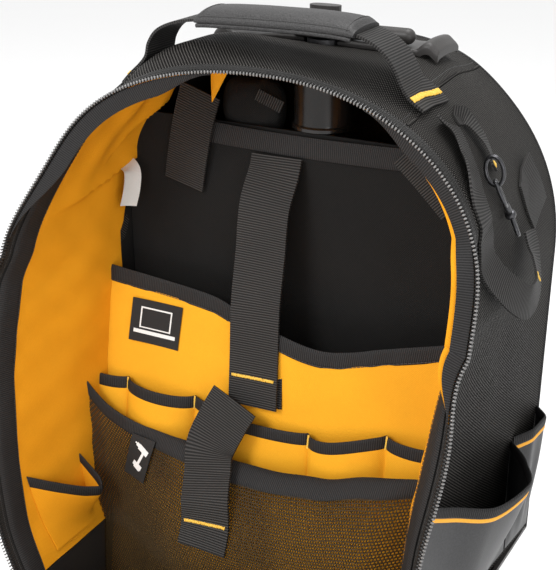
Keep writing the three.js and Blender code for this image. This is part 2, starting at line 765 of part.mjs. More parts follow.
const gripCurve = new THREE.CatmullRomCurve3(handleLine, false, 'centripetal');
function alongAtX(x) {
  let low = 0.2;
  let high = 0.8;
  for (let k = 0; k < 40; k += 1) {
    const middle = (low + high) / 2;
    if (gripCurve.getPointAt(middle).x < x) low = middle;
    else high = middle;
  }
  return (low + high) / 2;
}
const gripFrom = alongAtX(-64);
const gripTo = alongAtX(60);
function gripRing(halfWidth, low, high, around) {
  const a = around * Math.PI * 2;
  const c = Math.cos(a);
  const s = Math.sin(a);
  const across = halfWidth * Math.sign(c) * Math.abs(c) ** 0.75;
  const up = (s > 0 ? high : -low) * Math.abs(s) ** 0.75;
  return [across, up];
}
function gripPoint(s, around, grow) {
  const at = gripFrom + (gripTo - gripFrom) * s;
  const p = gripCurve.getPointAt(at);
  const along = gripCurve.getTangentAt(at);
  const across = along.clone().cross(awayFromCentre(p)).normalize();
  const normal = across.clone().cross(along).normalize();
  const slot = [HANDLE_WEB / 2 + 0.8, WEB / 2 + GAP + 0.5];
  const puff = 1 - 0.12 * (Math.abs(s - 0.5) * 2) ** 3;
  const [w, u] = grow
    ? gripRing((GRIP_WIDTH / 2) * puff, GRIP_THICK * 0.4, GRIP_THICK * 0.6 * puff, around)
    : [0, 0];
  if (grow) return p.addScaledVector(across, w).addScaledVector(normal, u);
  const a = around * Math.PI * 2;
  const c = Math.cos(a);
  const sn = Math.sin(a);
  const stretch = 1 / Math.max(Math.abs(c), Math.abs(sn));
  p.addScaledVector(across, slot[0] * c * stretch);
  return p.addScaledVector(normal, slot[1] * sn * stretch);
}
function sleeve(nu, round, point) {
  const position = [];
  const index = [];
  for (const grow of [true, false]) {
    for (let i = 0; i <= nu; i += 1) {
      for (let j = 0; j < round; j += 1) {
        const p = point(i / nu, (j + 0.5) / round, grow);
        position.push(p.x, p.y, p.z);
      }
    }
  }
  const half = (nu + 1) * round;
  const at = (i, j) => i * round + (j % round);
  const quad = (a, b, c, d) => index.push(a, b, c, a, c, d);
  for (let j = 0; j < round; j += 1) {
    for (let i = 0; i < nu; i += 1) {
      quad(at(i, j), at(i + 1, j), at(i + 1, j + 1), at(i, j + 1));
      quad(half + at(i, j), half + at(i, j + 1), half + at(i + 1, j + 1), half + at(i + 1, j));
    }
    quad(at(0, j), at(0, j + 1), half + at(0, j + 1), half + at(0, j));
    quad(at(nu, j + 1), at(nu, j), half + at(nu, j), half + at(nu, j + 1));
  }
  return toGeometry(position, index);
}
add('handle_grip', sleeve(14, 14, gripPoint), COLOURS.leather, 0.6, 0);

// Inside panels that run from wall to wall
const panelDepth = liningInner + GAP + 0.2;
function dividerY(z) {
  return DIVIDER_TOP_Y - (DIVIDER_REF_Z - z) * DIVIDER_LEAN;
}
const dividerRows = [
  { s: 0, top: 304, forward: 0 },
  { s: 0.3, top: 297, forward: 2 },
  { s: 0.45, top: 284, forward: 7 },
  { s: 0.62, top: 275, forward: 10 },
  { s: 0.8, top: 288, forward: 5 },
  { s: 1, top: 306, forward: 0 },
];
function crossing(s, y, z, depth) {
  const left = wallX(-1, y, z, depth);
  const right = wallX(1, y, z, depth);
  return left + (right - left) * s;
}
function dividerPoint(s, z, off) {
  const rise = smooth((z - 150) / 130);
  const y = dividerY(z) - look(dividerRows, 's', s, 'forward') * rise;
  return V(crossing(s, dividerY(z), z, panelDepth), y - off, z);
}
function dividerTop(s) {
  return look(dividerRows, 's', s, 'top');
}
const dividerLevels = [FLOOR_CLEAR, 74, 97, 120, 150, 181, 215, 250];
const dividerBody = (s, t) => {
  const k = Math.round(t * dividerLevels.length);
  const top = dividerTop(s) - DIVIDER_BINDING - GAP;
  const z = k < dividerLevels.length ? Math.min(dividerLevels[k], top - 1) : top;
  return dividerPoint(s, z, 0);
};
add('divider', laid(18, dividerLevels.length, dividerBody, SHEET / 2), COLOURS.yellow, 0.8, 0);
const dividerEdge = (s, t) => dividerPoint(s, dividerTop(s) - DIVIDER_BINDING * (1 - t), 0);
add('divider_binding', plate(18, 1, dividerEdge, BIND_THICK / 2, -BIND_THICK / 2),
  COLOURS.tape, 0.8, 0);

const rearPoint = (s, t) => {
  const z = FLOOR_CLEAR + (REAR_TOP - FLOOR_CLEAR) * t;
  return V(crossing(s, REAR_Y, z, panelDepth + 0.3), REAR_Y, z);
};
add('rear_panel', plate(4, 6, rearPoint, REAR_THICK / 2, -REAR_THICK / 2), COLOURS.cloth, 0.9, 0);
const bandPoint = (s, t) => {
  const sag = 3 * Math.sin(Math.PI * s);
  const y = REAR_Y - REAR_THICK / 2 - GAP - 1;
  const z = REAR_TOP - 17 - sag + 17 * t;
  return V(crossing(0.12 + 0.76 * s, y, z, panelDepth + 3), y, z);
};
add('rear_band', plate(8, 1, bandPoint, 1, -1), COLOURS.web, 0.85, 0);

// A padded lump between the back and the band, beside the pole housing
const PAD_R = 13;
const padShape = new THREE.CapsuleGeometry(PAD_R, 28, 3, 12).rotateZ(Math.PI / 2);
padShape.scale(1, 1, 1.85);
const padY = REAR_Y + REAR_THICK / 2 + GAP + PAD_R - 1.7;
add('rear_pad', placed(padShape, -57, padY, REAR_TOP + 12),
  COLOURS.cloth, 0.9, 0);

// Tool pockets on the divider
const pocketColumns = [
  { x: -200, stand: 1.6 },
  { x: -172, stand: 9 },
  { x: -152, stand: 1.6 },
  { x: -118, stand: 13 },
  { x: -84, stand: 1.6 },
  { x: -30, stand: 10 },
  { x: 26, stand: 1.6 },
  { x: 58, stand: 13 },
  { x: 92, stand: 1.6 },
  { x: 122, stand: 12 },
  { x: 150, stand: 1.6 },
  { x: 200, stand: 1.6 },
];
const pocketTopRows = [
  { x: -190, top: 211 },
  { x: -84, top: 209 },
  { x: -30, top: 204 },
  { x: 26, top: 204 },
  { x: 92, top: 219 },
  { x: 160, top: 221 },
];
const POCKET_FOOT = 122;
function toolPoint(s, z) {
  const p = dividerPoint(s, z, 0);
  const fill = smooth((z - POCKET_FOOT) / 45);
  const stand = look(pocketColumns, 'x', p.x, 'stand') - 1.6;
  const shape = V(p.x, p.y - (1.6 + stand * fill), z);
  shape.x = crossing(s, shape.y, z, panelDepth + 0.4);
  return shape;
}
function toolTop(s) {
  const x = crossing(s, 40, 210, panelDepth);
  return look(pocketTopRows, 'x', x, 'top');
}
const toolBody = (s, t) => {
  const top = toolTop(s) - POCKET_BINDING - GAP;
  return toolPoint(s, POCKET_FOOT + (top - POCKET_FOOT) * t);
};
add('tool_pockets', plate(30, 2, toolBody, SHEET / 2, -SHEET / 2), COLOURS.yellow, 0.8, 0);
const toolEdge = (s, t) => toolPoint(s, toolTop(s) - POCKET_BINDING * (1 - t));
add('tool_binding', plate(30, 1, toolEdge, 0.8, -0.8), COLOURS.tape, 0.8, 0);

// Net pocket across the front of the divider
const netTopRows = [
  { x: -184, top: 212 },
  { x: -174, top: 199 },
  { x: -162, top: 189 },
  { x: -145, top: 183 },
  { x: -119, top: 178 },
  { x: -89, top: 178 },
  { x: -21, top: 172 },
  { x: 48, top: 179 },
  { x: 82, top: 190 },
  { x: 118, top: 199 },
  { x: 150, top: 204 },
];
const NET_TOP_Y = 22;
const NET_FOOT_Y = 4;
const NET_BULGE = 36;
const NET_LEFT = { x: -165, run: 110 };
const NET_RIGHT = { x: 152, run: 60 };
function netY(x, z, top) {
  const t = (z - FLOOR_CLEAR) / (top - FLOOR_CLEAR);
  const left = smooth((x - NET_LEFT.x) / NET_LEFT.run);
  const right = smooth((NET_RIGHT.x - x) / NET_RIGHT.run);
  const belly = NET_BULGE * Math.sin(Math.PI * Math.min(1, t)) ** 0.8;
  return NET_FOOT_Y + (NET_TOP_Y - NET_FOOT_Y) * t - (belly + 4) * left * right;
}
function netTop(s) {
  return look(netTopRows, 'x', crossing(s, NET_TOP_Y, 180, panelDepth), 'top');
}
function netPoint(s, z) {
  const y = netY(crossing(s, 0, z, panelDepth), z, netTop(s));
  return V(crossing(s, y, z, panelDepth), y, z);
}
const netLevels = [FLOOR_CLEAR, 40, 74, 97, 120, 140];
const netBody = (s, t) => {
  const k = Math.round(t * netLevels.length);
  const top = netTop(s) - MESH_BINDING - GAP;
  return netPoint(s, k < netLevels.length ? Math.min(netLevels[k], top - 1) : top);
};
add('mesh_pocket', laid(18, netLevels.length, netBody, SHEET / 2), COLOURS.net, 0.8, 0);
const netEdge = (s, t) => netPoint(s, netTop(s) - MESH_BINDING * (1 - t));
add('mesh_binding', plate(18, 1, netEdge, 0.9, -0.9), COLOURS.tape, 0.8, 0);

// Pocket on the left wall
const wallPocketRows = [
  { a: 0, y: -54, stand: 0, top: 149 },
  { a: 0.35, y: -34, stand: 12, top: 137 },
  { a: 0.65, y: -16, stand: 22, top: 128 },
  { a: 0.85, y: -7, stand: 27, top: 126 },
  { a: 0.95, y: -3, stand: 23, top: 131 },
  { a: 1, y: 1, stand: 0, top: 147 },
];
const WALL_POCKET_FOOT = 84;
const WALL_POCKET_BIND = 10;
function wallPocketPoint(a, z) {
  const top = look(wallPocketRows, 'a', a, 'top');
  const fill = smooth((z - WALL_POCKET_FOOT) / (top - WALL_POCKET_FOOT));
  const y = look(wallPocketRows, 'a', a, 'y');
  const stand = look(wallPocketRows, 'a', a, 'stand') * fill;
  return V(wallX(-1, y, z, liningInner + 1.15) + stand, y, z);
}
const wallPocketTop = (a) => look(wallPocketRows, 'a', a, 'top');
const wallPocketBody = (s, t) => {
  const top = wallPocketTop(s) - WALL_POCKET_BIND - GAP * 2.5;
  return wallPocketPoint(s, WALL_POCKET_FOOT + (top - WALL_POCKET_FOOT) * t);
};
add('wall_pocket', plate(12, 3, wallPocketBody, SHEET / 2, -SHEET / 2), COLOURS.yellow, 0.8, 0);
const wallPocketEdge = (s, t) => (
  wallPocketPoint(s, wallPocketTop(s) - WALL_POCKET_BIND * (1 - t))
);
add('wall_pocket_binding', plate(12, 1, wallPocketEdge, 0.8, -0.8), COLOURS.tape, 0.8, 0);

// Hold-down straps, labels, hanging webbing
const towardsFront = () => V(0, -1, 0.25);
const HOLD_FOOT = 216;
const holdRows = [
  { x: -27, y: 80.8, share: 1 },
  { x: -27, y: 76, share: 0.945 },
  { x: -29, y: 64, share: 0.82 },
  { x: -30, y: 58, share: 0.62 },
  { x: -30, y: 50, share: 0.435 },
  { x: -29, y: 46.2, share: 0.345 },
  { x: -28, y: 43, share: 0.23 },
  { x: -27, y: 39.5, share: 0.12 },
  { x: -26, y: 35.6, share: 0 },
];
const holdLong = REAR_TOP - 21 - HOLD_FOOT;
const holdLine = holdRows.map((row) => V(row.x, row.y, HOLD_FOOT + holdLong * row.share));
add('hold_strap_upper', strap(holdLine, HOLD_WEB, WEB, towardsFront, 20), COLOURS.web, 0.8, 0);
const holdLowLine = [V(-37, 26, 223), V(-45, 19, 205), V(-52, 10, 183)];
for (const [x, z] of [[-49, 166], [-44, 148], [-41, 128], [-41, 109]]) {
  holdLowLine.push(V(x, netY(x, z, 174) - (z > 140 ? 8.5 : 2.3), z));
}
add('hold_strap_lower', strap(holdLowLine, HOLD_WEB, WEB, towardsFront, 16), COLOURS.web, 0.8, 0);

const laptopLabel = (s, t) => {
  const x = -155 + 50 * s + 3 * t;
  const z = 243 + 38 * t;
  return V(x, dividerY(z) - 3.2, z);
};
add('label_laptop', plate(4, 3, laptopLabel, 0.4, -0.4), COLOURS.label, 0.7, 0);
const drillLabel = (s, t) => {
  const x = -140 + 26 * s + 6 * t;
  const z = 135 + 36 * t;
  return V(x, netY(x, z, 178) - 2 - (1 - t), z);
};
add('label_drill', plate(4, 3, drillLabel, 0.4, -0.4), COLOURS.label, 0.7, 0);
const careEdge = wallX(-1, 74, 392, liningInner + 3.8);
const careLine = [
  V(careEdge, 74, 394), V(careEdge + 9, 70, 388), V(careEdge + 10, 67, 374),
  V(careEdge + 6, 66, 358),
];
add('label_care', strap(careLine, 15, 0.6, () => V(1, -0.6, 0), 8), COLOURS.white, 0.5, 0);
const hangRows = [
  { x: -95, y: 80, rise: 24 },
  { x: -101, y: 79, rise: 3 },
  { x: -108, y: 80, rise: -25 },
  { x: -115, y: 82.2, rise: -57 },
];
const hangLine = hangRows.map((row) => V(row.x, row.y, REAR_TOP + row.rise));
add('rear_webbing', strap(hangLine, HANDLE_WEB, WEB, towardsFront, 8), COLOURS.web, 0.8, 0);

// Outside pockets on both sides
const outPocketRows = [
  { a: 0, y: -50, stand: 0, top: 224 },
  { a: 0.2, y: -12, stand: 14, top: 207 },
  { a: 0.42, y: 18, stand: 36, top: 198 },
  { a: 0.62, y: 48, stand: 46, top: 204 },
  { a: 0.8, y: 82, stand: 30, top: 201 },
  { a: 1, y: 126, stand: 0, top: 190 },
];
const backPocketRows = [
  { a: 0, y: 129, stand: 0, top: 192 },
  { a: 0.3, y: 142, stand: 12, top: 198 },
  { a: 0.7, y: 160, stand: 13, top: 200 },
  { a: 1, y: 176, stand: 0, top: 200 },
];
const OUT_POCKET_FOOT = 82;
const OUT_TRIM = 9;
const COATED = 1.4;
function outPocketPoint(side, rows, a, z) {
  const top = look(rows, 'a', a, 'top');
  const fill = Math.max(0, (z - OUT_POCKET_FOOT) / (top - OUT_POCKET_FOOT)) ** 0.75;
  const y = look(rows, 'a', a, 'y');
  const stand = look(rows, 'a', a, 'stand') * fill;
  const p = wallAt(side, y, z, -(COATED / 2 + GAP));
  return V(p.x + side * stand, y, z);
}
function outPocketPart(side, rows, nu, fromTop, toTop, half, nv) {
  const at = (s, t) => {
    const top = look(rows, 'a', s, 'top');
    const z1 = top - fromTop;
    const z0 = toTop === null ? OUT_POCKET_FOOT : top - toTop;
    return outPocketPoint(side, rows, s, z0 + (z1 - z0) * t);
  };
  return plate(nu, nv, at, half, -half);
}
const outPockets = [
  { name: 'pocket_right', side: 1, rows: outPocketRows, nu: 15 },
  { name: 'pocket_right_rear', side: 1, rows: backPocketRows, nu: 8 },
  { name: 'pocket_left', side: -1, rows: outPocketRows, nu: 15 },
  { name: 'pocket_left_rear', side: -1, rows: backPocketRows, nu: 8 },
];
for (const part of outPockets) {
  const below = OUT_TRIM + GAP;
  const body = outPocketPart(part.side, part.rows, part.nu, below, null, COATED / 2, 4);
  add(part.name, onWall(body), COLOURS.coated, 0.55, 0);
  const trim = outPocketPart(part.side, part.rows, part.nu, 0, OUT_TRIM, 0.9, 1);
  add(`${part.name}_binding`, onWall(trim), COLOURS.tape, 0.8, 0);
}

// Gear strap, ring and snap hook on the right shoulder
const offWall = (p) => V(1, 0, Math.max(0, p.z - SPRING_HEIGHT) / 90);
const wallSide = (p) => wallFacing(1, p.y, p.z);
const gearRows = [
  { y: 41, drop: 28, off: 1.6 },
  { y: 36, drop: 36, off: 4 },
  { y: 26, drop: 48, off: 3 },
  { y: 12, drop: 64, off: 2.2 },
  { y: 8, drop: 90, off: 2.2 },
  { y: 18, drop: 116, off: 5 },
  { y: 34, drop: 140, off: 13 },
  { y: 56, drop: 154, off: 19 },
  { y: 78, drop: 150, off: 18 },
  { y: 92, drop: 134, off: 12 },
  { y: 96, drop: 116, off: 8 },
];
function offWallPoint(row) {
  return wallAt(1, row.y, RIM_HEIGHT - row.drop, -row.off);
}
add('gear_strap', onWall(strap(gearRows.map(offWallPoint), GEAR_WEB, WEB, wallSide, 26)),
  COLOURS.web, 0.8, 0);
const ringStrapRows = [
  { y: 57, drop: 27, off: 1.6 },
  { y: 65, drop: 30, off: 4.2 },
  { y: 67, drop: 43, off: 5 },
  { y: 64, drop: 52, off: 4.6 },
  { y: 58, drop: 61, off: 4 },
];
add('ring_strap', onWall(strap(ringStrapRows.map(offWallPoint), 13, WEB, wallSide, 12)),
  COLOURS.web, 0.8, 0);

// A round wire bent along a closed line
function wire(points, r, pieces) {
  const curve = new THREE.CatmullRomCurve3(points, true, 'centripetal');
  return new THREE.TubeGeometry(curve, pieces, r, 6, true);
}
function looped(centre, along, across, halfLong, halfWide) {
  const points = [];
  for (let k = 0; k < 12; k += 1) {
    const a = (k / 12) * Math.PI * 2;
    const p = centre.clone().addScaledVector(along, halfLong * Math.cos(a));
    points.push(p.addScaledVector(across, halfWide * Math.sin(a)));
  }
  return points;
}
const ringCentre = offWallPoint({ y: 42, drop: 58, off: 9 });
const hookTop = offWallPoint({ y: 38, drop: 67, off: 9 });
const hookFoot = offWallPoint({ y: 62, drop: 98, off: 9 });
const hookAlong = hookFoot.clone().sub(hookTop).normalize();
const outOfWall = offWall(ringCentre).normalize();
const hookAcross = hookAlong.clone().cross(outOfWall).normalize();
const ringAlong = V(0, -0.1, -1).addScaledVector(outOfWall, 0.35).normalize();
const ringAcross = outOfWall.clone().cross(ringAlong).cross(ringAlong).normalize();
add('ring', fromSolid(toSolid(wire(looped(ringCentre, ringAlong, ringAcross, 10, 6.5), 1.5, 20))),
  COLOURS.metal, 0.35, 0.8);
const hookCentre = ringCentre.clone().addScaledVector(ringAlong, 10)
  .addScaledVector(hookAlong, 9);
const hookLoop = toSolid(wire(looped(hookCentre, hookAlong, hookAcross, 12.5, 6), 1.5, 22));
function rod(from, to, r) {
  const run = to.clone().sub(from);
  const g = new THREE.CylinderGeometry(r, r, run.length(), 10);
  g.applyQuaternion(new THREE.Quaternion().setFromUnitVectors(V(0, 1, 0), run.normalize()));
  const middle = from.clone().add(to).multiplyScalar(0.5);
  return toSolid(g.translate(middle.x, middle.y, middle.z));
}
const rodFrom = hookCentre.clone().addScaledVector(hookAlong, 11.5);
const rodTo = hookCentre.clone().addScaledVector(hookAlong, 22);
const swivelTo = rodTo.clone().addScaledVector(hookAlong, 5);
const eyeCentre = swivelTo.clone().addScaledVector(hookAlong, 5.5);
const eye = toSolid(wire(looped(eyeCentre, hookAlong, hookAcross, 6.5, 12), 1.5, 20));
const hook = hookLoop.add(rod(rodFrom, rodTo, 2.2)).add(rod(rodTo, swivelTo, 4)).add(eye);
add('snap_hook', fromSolid(hook.subtract(keepClear)), COLOURS.metal, 0.35, 0.8);
const patchRows = [
  { y: 114, drop: 76, off: 1.7 },
  { y: 126, drop: 96, off: 1.7 },
  { y: 138, drop: 116, off: 1.7 },
];
const patchLine = patchRows.map(offWallPoint);
add('ribbed_patch', onWall(strap(patchLine, 34, WEB, wallSide, 6)), COLOURS.web, 0.85, 0);

// Shoulder straps behind the back panel
const STRAP_PAD = 9;
const STRAP_PAD_WIDTH = 62;
const behind = backFront + BACK_PAD + GAP;
for (const side of [-1, 1]) {
  const name = side < 0 ? 'left' : 'right';
  const y0 = behind + STRAP_PAD / 2;
  const line = [
    V(side * 46, y0, RIM_HEIGHT - 28), V(side * 52, y0 + 9, RIM_HEIGHT - 60),
    V(side * 64, y0 + 17, 380), V(side * 78, y0 + 17, 310), V(side * 90, y0 + 11, 250),
    V(side * 97, y0 + 5, 205),
  ];
  add(`shoulder_pad_${name}`, strap(line, STRAP_PAD_WIDTH, STRAP_PAD, () => V(0, 1, 0), 12),
    COLOURS.cloth, 0.9, 0);
  const y1 = behind + WEB / 2;
  const low = [
    V(side * 97.7, y0 + 3.6, 199.2), V(side * 103, y0 + 2, 168), V(side * 112, y1 + 3, 128),
    V(side * 120, y1 + 0.3, 92),
  ];
  add(`shoulder_web_${name}`, strap(low, GEAR_WEB, WEB, () => V(0, 1, 0), 8),
    COLOURS.web, 0.8, 0);
}

// Front flap, dropped forward on the floor
const FLAP_LONG = 438;
const FLAP_CLOTH = 3.6;
const flapPath = new THREE.CatmullRomCurve3([
  V(0, rimY(TRAY_HEIGHT) - 2.4, 71), V(0, rimY(TRAY_HEIGHT) - 4.5, 48),
  V(0, rimY(TRAY_HEIGHT) - 11, 25), V(0, rimY(TRAY_HEIGHT) - 26, 9),
  V(0, rimY(TRAY_HEIGHT) - 50, 3), V(0, rimY(TRAY_HEIGHT) - 90, 2.2),
  V(0, rimY(TRAY_HEIGHT) - 200, 2.2), V(0, rimY(TRAY_HEIGHT) - 700, 2.2),
], false, 'centripetal');
const flapLength = flapPath.getLength();
function flapHalf(run) {
  const z = TRAY_HEIGHT + (run * (RIM_HEIGHT - TRAY_HEIGHT)) / FLAP_LONG;
  if (z < SPRING_HEIGHT) {
    const level = (z - TRAY_HEIGHT) / (SPRING_HEIGHT - TRAY_HEIGHT);
    return HALF_WIDTH * (0.94 + 0.18 * level);
  }
  const up = Math.min(1, (z - SPRING_HEIGHT) / (RIM_HEIGHT - SPRING_HEIGHT));
  return HALF_WIDTH * 1.12 * Math.max(0, 1 - up ** ARCH_POWER) ** (1 / ARCH_POWER);
}
function flapPoint(x, run, off) {
  const p = flapPath.getPointAt(run / flapLength);
  const along = flapPath.getTangentAt(run / flapLength);
  const normal = V(0, -along.z, along.y).normalize();
  if (normal.z < 0) normal.negate();
  return V(x, p.y + normal.y * off, Math.max(p.z + normal.z * off, 0.2));
}
// The flap's edge, then the same edge drawn in by a width
const flapEdge = [];
for (let k = 0; k <= 22; k += 1) {
  const run = FLAP_LONG * Math.sin((Math.PI / 2) * (k / 22) ** 1.15);
  flapEdge.push({ run, half: flapHalf(run) });
}
flapEdge[22].half = 0;
function drawnIn(width) {
  return flapEdge.map((row, k) => {
    const before = flapEdge[Math.max(0, k - 1)];
    const after = flapEdge[Math.min(22, k + 1)];
    const dx = after.half - before.half;
    const dr = after.run - before.run;
    const length = Math.hypot(dx, dr);
    if (k === 0) return { run: 0, half: row.half - width };
    if (k === 22) return { run: row.run - width, half: 0 };
    return { run: row.run + (dx * width) / length, half: row.half - (dr * width) / length };
  });
}
const flapRuns = [0, 10, 20, 30, 40, 50, 60, 72, 86, 105, 140, 190, 240, 285, 320, 350, 375, 395];
function flapSheet(inset, low, high) {
  const rows = drawnIn(inset);
  const longest = rows[22].run - 1.5;
  const runs = [...flapRuns.filter((run) => run < longest - 9), longest - 6, longest];
  const at = (s, t, off) => {
    const run = runs[Math.round(t * (runs.length - 1))];
    return flapPoint((s * 2 - 1) * Math.max(5, look(rows, 'run', run, 'half')), run, off);
  };
  return skin(4, runs.length - 1, (s, t) => at(s, t, low), (s, t) => at(s, t, high));
}
add('flap_cloth', flapSheet(TAPE_WIDTH + 1, -FLAP_CLOTH / 2, FLAP_CLOTH / 2),
  COLOURS.cloth, 0.85, 0);
add('flap_lining', flapSheet(BINDING_END, FLAP_CLOTH / 2 + GAP, FLAP_CLOTH / 2 + GAP + LINING),
  COLOURS.yellow, 0.8, 0);
const tapeOuter = drawnIn(0);
const tapeInner = drawnIn(TAPE_WIDTH);
const flapTape = (s, t, off) => {
  const k = Math.round(s * 44);
  const side = k < 22 ? -1 : 1;
  const a = tapeOuter[k < 22 ? k : 44 - k];
  const b = tapeInner[k < 22 ? k : 44 - k];
  return flapPoint(side * (a.half + (b.half - a.half) * t), a.run + (b.run - a.run) * t, off);
};
add('flap_tape', skin(44, 1, (s, t) => flapTape(s, t, -0.8), (s, t) => flapTape(s, t, 0.8)),
  COLOURS.tape, 0.7, 0);

export default group;
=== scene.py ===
"""Looks of the wheeled tool backpack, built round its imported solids. Lengths are millimetres up to
the moment a mesh is made, and metres from there on."""

import math

import bpy
import numpy as np
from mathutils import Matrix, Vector


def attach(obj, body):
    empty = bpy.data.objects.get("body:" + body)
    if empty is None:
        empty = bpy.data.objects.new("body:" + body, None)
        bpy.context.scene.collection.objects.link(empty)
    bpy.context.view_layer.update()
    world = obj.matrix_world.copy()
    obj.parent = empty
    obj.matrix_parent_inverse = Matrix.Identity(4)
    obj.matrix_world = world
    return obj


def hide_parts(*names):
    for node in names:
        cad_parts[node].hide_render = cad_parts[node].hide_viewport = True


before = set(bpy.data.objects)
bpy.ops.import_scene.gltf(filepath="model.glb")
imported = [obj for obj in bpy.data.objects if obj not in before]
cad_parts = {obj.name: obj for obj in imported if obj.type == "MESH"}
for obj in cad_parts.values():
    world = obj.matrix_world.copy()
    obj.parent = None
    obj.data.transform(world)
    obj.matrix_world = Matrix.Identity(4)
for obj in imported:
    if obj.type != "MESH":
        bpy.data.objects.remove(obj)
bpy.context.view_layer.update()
rng = np.random.default_rng(7)


def add(name, data):
    """A new object in the scene."""
    o = bpy.data.objects.new(name, data)
    bpy.context.scene.collection.objects.link(o)
    return o


# Camera
AZIMUTH, ELEVATION, DISTANCE = math.radians(28), math.radians(23), 0.9
TARGET = Vector((-0.015, 0.060, 0.317))
away = Vector((math.sin(AZIMUTH) * math.cos(ELEVATION),
               -math.cos(AZIMUTH) * math.cos(ELEVATION), math.sin(ELEVATION)))
camera_data = bpy.data.cameras.new("camera")
camera_data.lens = 71.37
camera_data.sensor_width = 36
camera_data.clip_start = 0.05
camera = add("camera", camera_data)
camera.location = TARGET + away * DISTANCE
camera.rotation_euler = away.to_track_quat("Z", "Y").to_euler()
bpy.context.scene.camera = camera

# Sizes, as in the solids
HALF_WIDTH, RIM_HEIGHT, BACK_RISE, SPRING = 172.0, 500.0, 3.0, 340.0
BACK_Y, FRONT_LEAN, ARCH_POWER, SIDE_SHARE, TRAY_HEIGHT = 180.0, 120.0, 2.15, 0.32, 75.0
SPREAD_LEFT, SPREAD_RIGHT, SHOULDER_DIP = 1.249, 1.122, 0.104
LEFT_ROWS = [(0, .977), (.17, 1.14), (.4, 1.244), (.66, 1.302), (.89, 1.29), (1, 1.227)]
RIGHT_ROWS = [(0, .93), (.45, .953), (.63, .988), (.85, 1.047), (.93, 1.08), (1, 1.122)]
LIP_FLARE, LIP_SHARE, LIP_TOP = 26.0, 0.13, 432.0
RIGHT_DENT, DENT_ABOVE, DENT_BELOW = 16.0, 75.0, 50.0
CLOTH, LINING, TAPE, BINDING, GAP = 2.0, 1.0, 1.5, 2.2, 0.3
TAPE_WIDTH, BINDING_START, BINDING_END = 12.0, 9.0, 30.0
YELLOW_ROWS = [(0, 70), (.31, 72), (.36, 92), (.4, 98), (1, 98)]
SEAM_LEFT, SEAM_RIGHT = 0.433, 0.567
LINING_OUT = CLOTH + GAP
LINING_IN = LINING_OUT + LINING
PANEL_DEPTH = LINING_IN + GAP + 0.2
POLE_Y, POLE_WAY = 108.0, 16.2
INNER_FOOT, REAR_TOP, WALL_POCKET_FOOT, OUT_POCKET_FOOT = 6, 437, 84, 82
# The wall's rough reach along u and along v
WALL_RUN, WALL_DEEP = 1100, 220


def smooth(t):
    t = np.clip(t, 0, 1)
    return t * t * (3 - 2 * t)


def look(rows, at):
    return np.interp(at, [r[0] for r in rows], [r[1] for r in rows])


def soft_look(rows, at, column=1):
    """A smooth line through the rows of a table."""
    x = np.array([r[0] for r in rows], float)
    y = np.array([r[column] for r in rows], float)
    h = np.diff(x)
    d = np.diff(y) / h
    m = np.concatenate([[d[0]], np.where(d[1:] * d[:-1] > 0,
                        2 * d[1:] * d[:-1] / np.where(d[1:] + d[:-1] == 0, 1, d[1:] + d[:-1]), 0),
                        [d[-1]]])
    at = np.clip(at, x[0], x[-1])
    k = np.clip(np.searchsorted(x, at, side="right") - 1, 0, len(x) - 2)
    t = (at - x[k]) / h[k]
    return ((1 + 2 * t) * (1 - t) ** 2 * y[k] + t * (1 - t) ** 2 * h[k] * m[k]
            + t * t * (3 - 2 * t) * y[k + 1] + t * t * (t - 1) * h[k] * m[k + 1])


def run_along(line):
    """The distance from a line's start to each of its points."""
    return np.concatenate([[0], np.cumsum(np.linalg.norm(np.diff(line, axis=0), axis=1))])


def at_runs(at, run, values):
    """Values along a line, read at some distances from its start."""
    return np.stack([np.interp(at, run, column) for column in values.T], 1)


def rim_y(z):
    return -FRONT_LEAN * (1 - z / RIM_HEIGHT)


# Soft rolls of the top cloth under the feet of the carry handle: u, spread, rise, then the
# shares of v where each starts, is full, falls and ends, and what is left of it there
SHOULDER_ROLLS = [(0.453, 0.038, 18, 0, 0.22, 0.4, 0.66, 0), (0.557, 0.027, 13, 0.12, 0.42, 0.6, 1, 0.3)]


def roll_rise(u, v):
    rise = 0
    for middle, spread, high, start, full, fall, end, left in SHOULDER_ROLLS:
        lost = (1 - left) * smooth((v - fall) / (end - fall))
        rise = rise + high * np.exp(-(((u - middle) / spread) ** 2)) * smooth(
            (v - start) / (full - start)) * (1 - lost)
    return rise


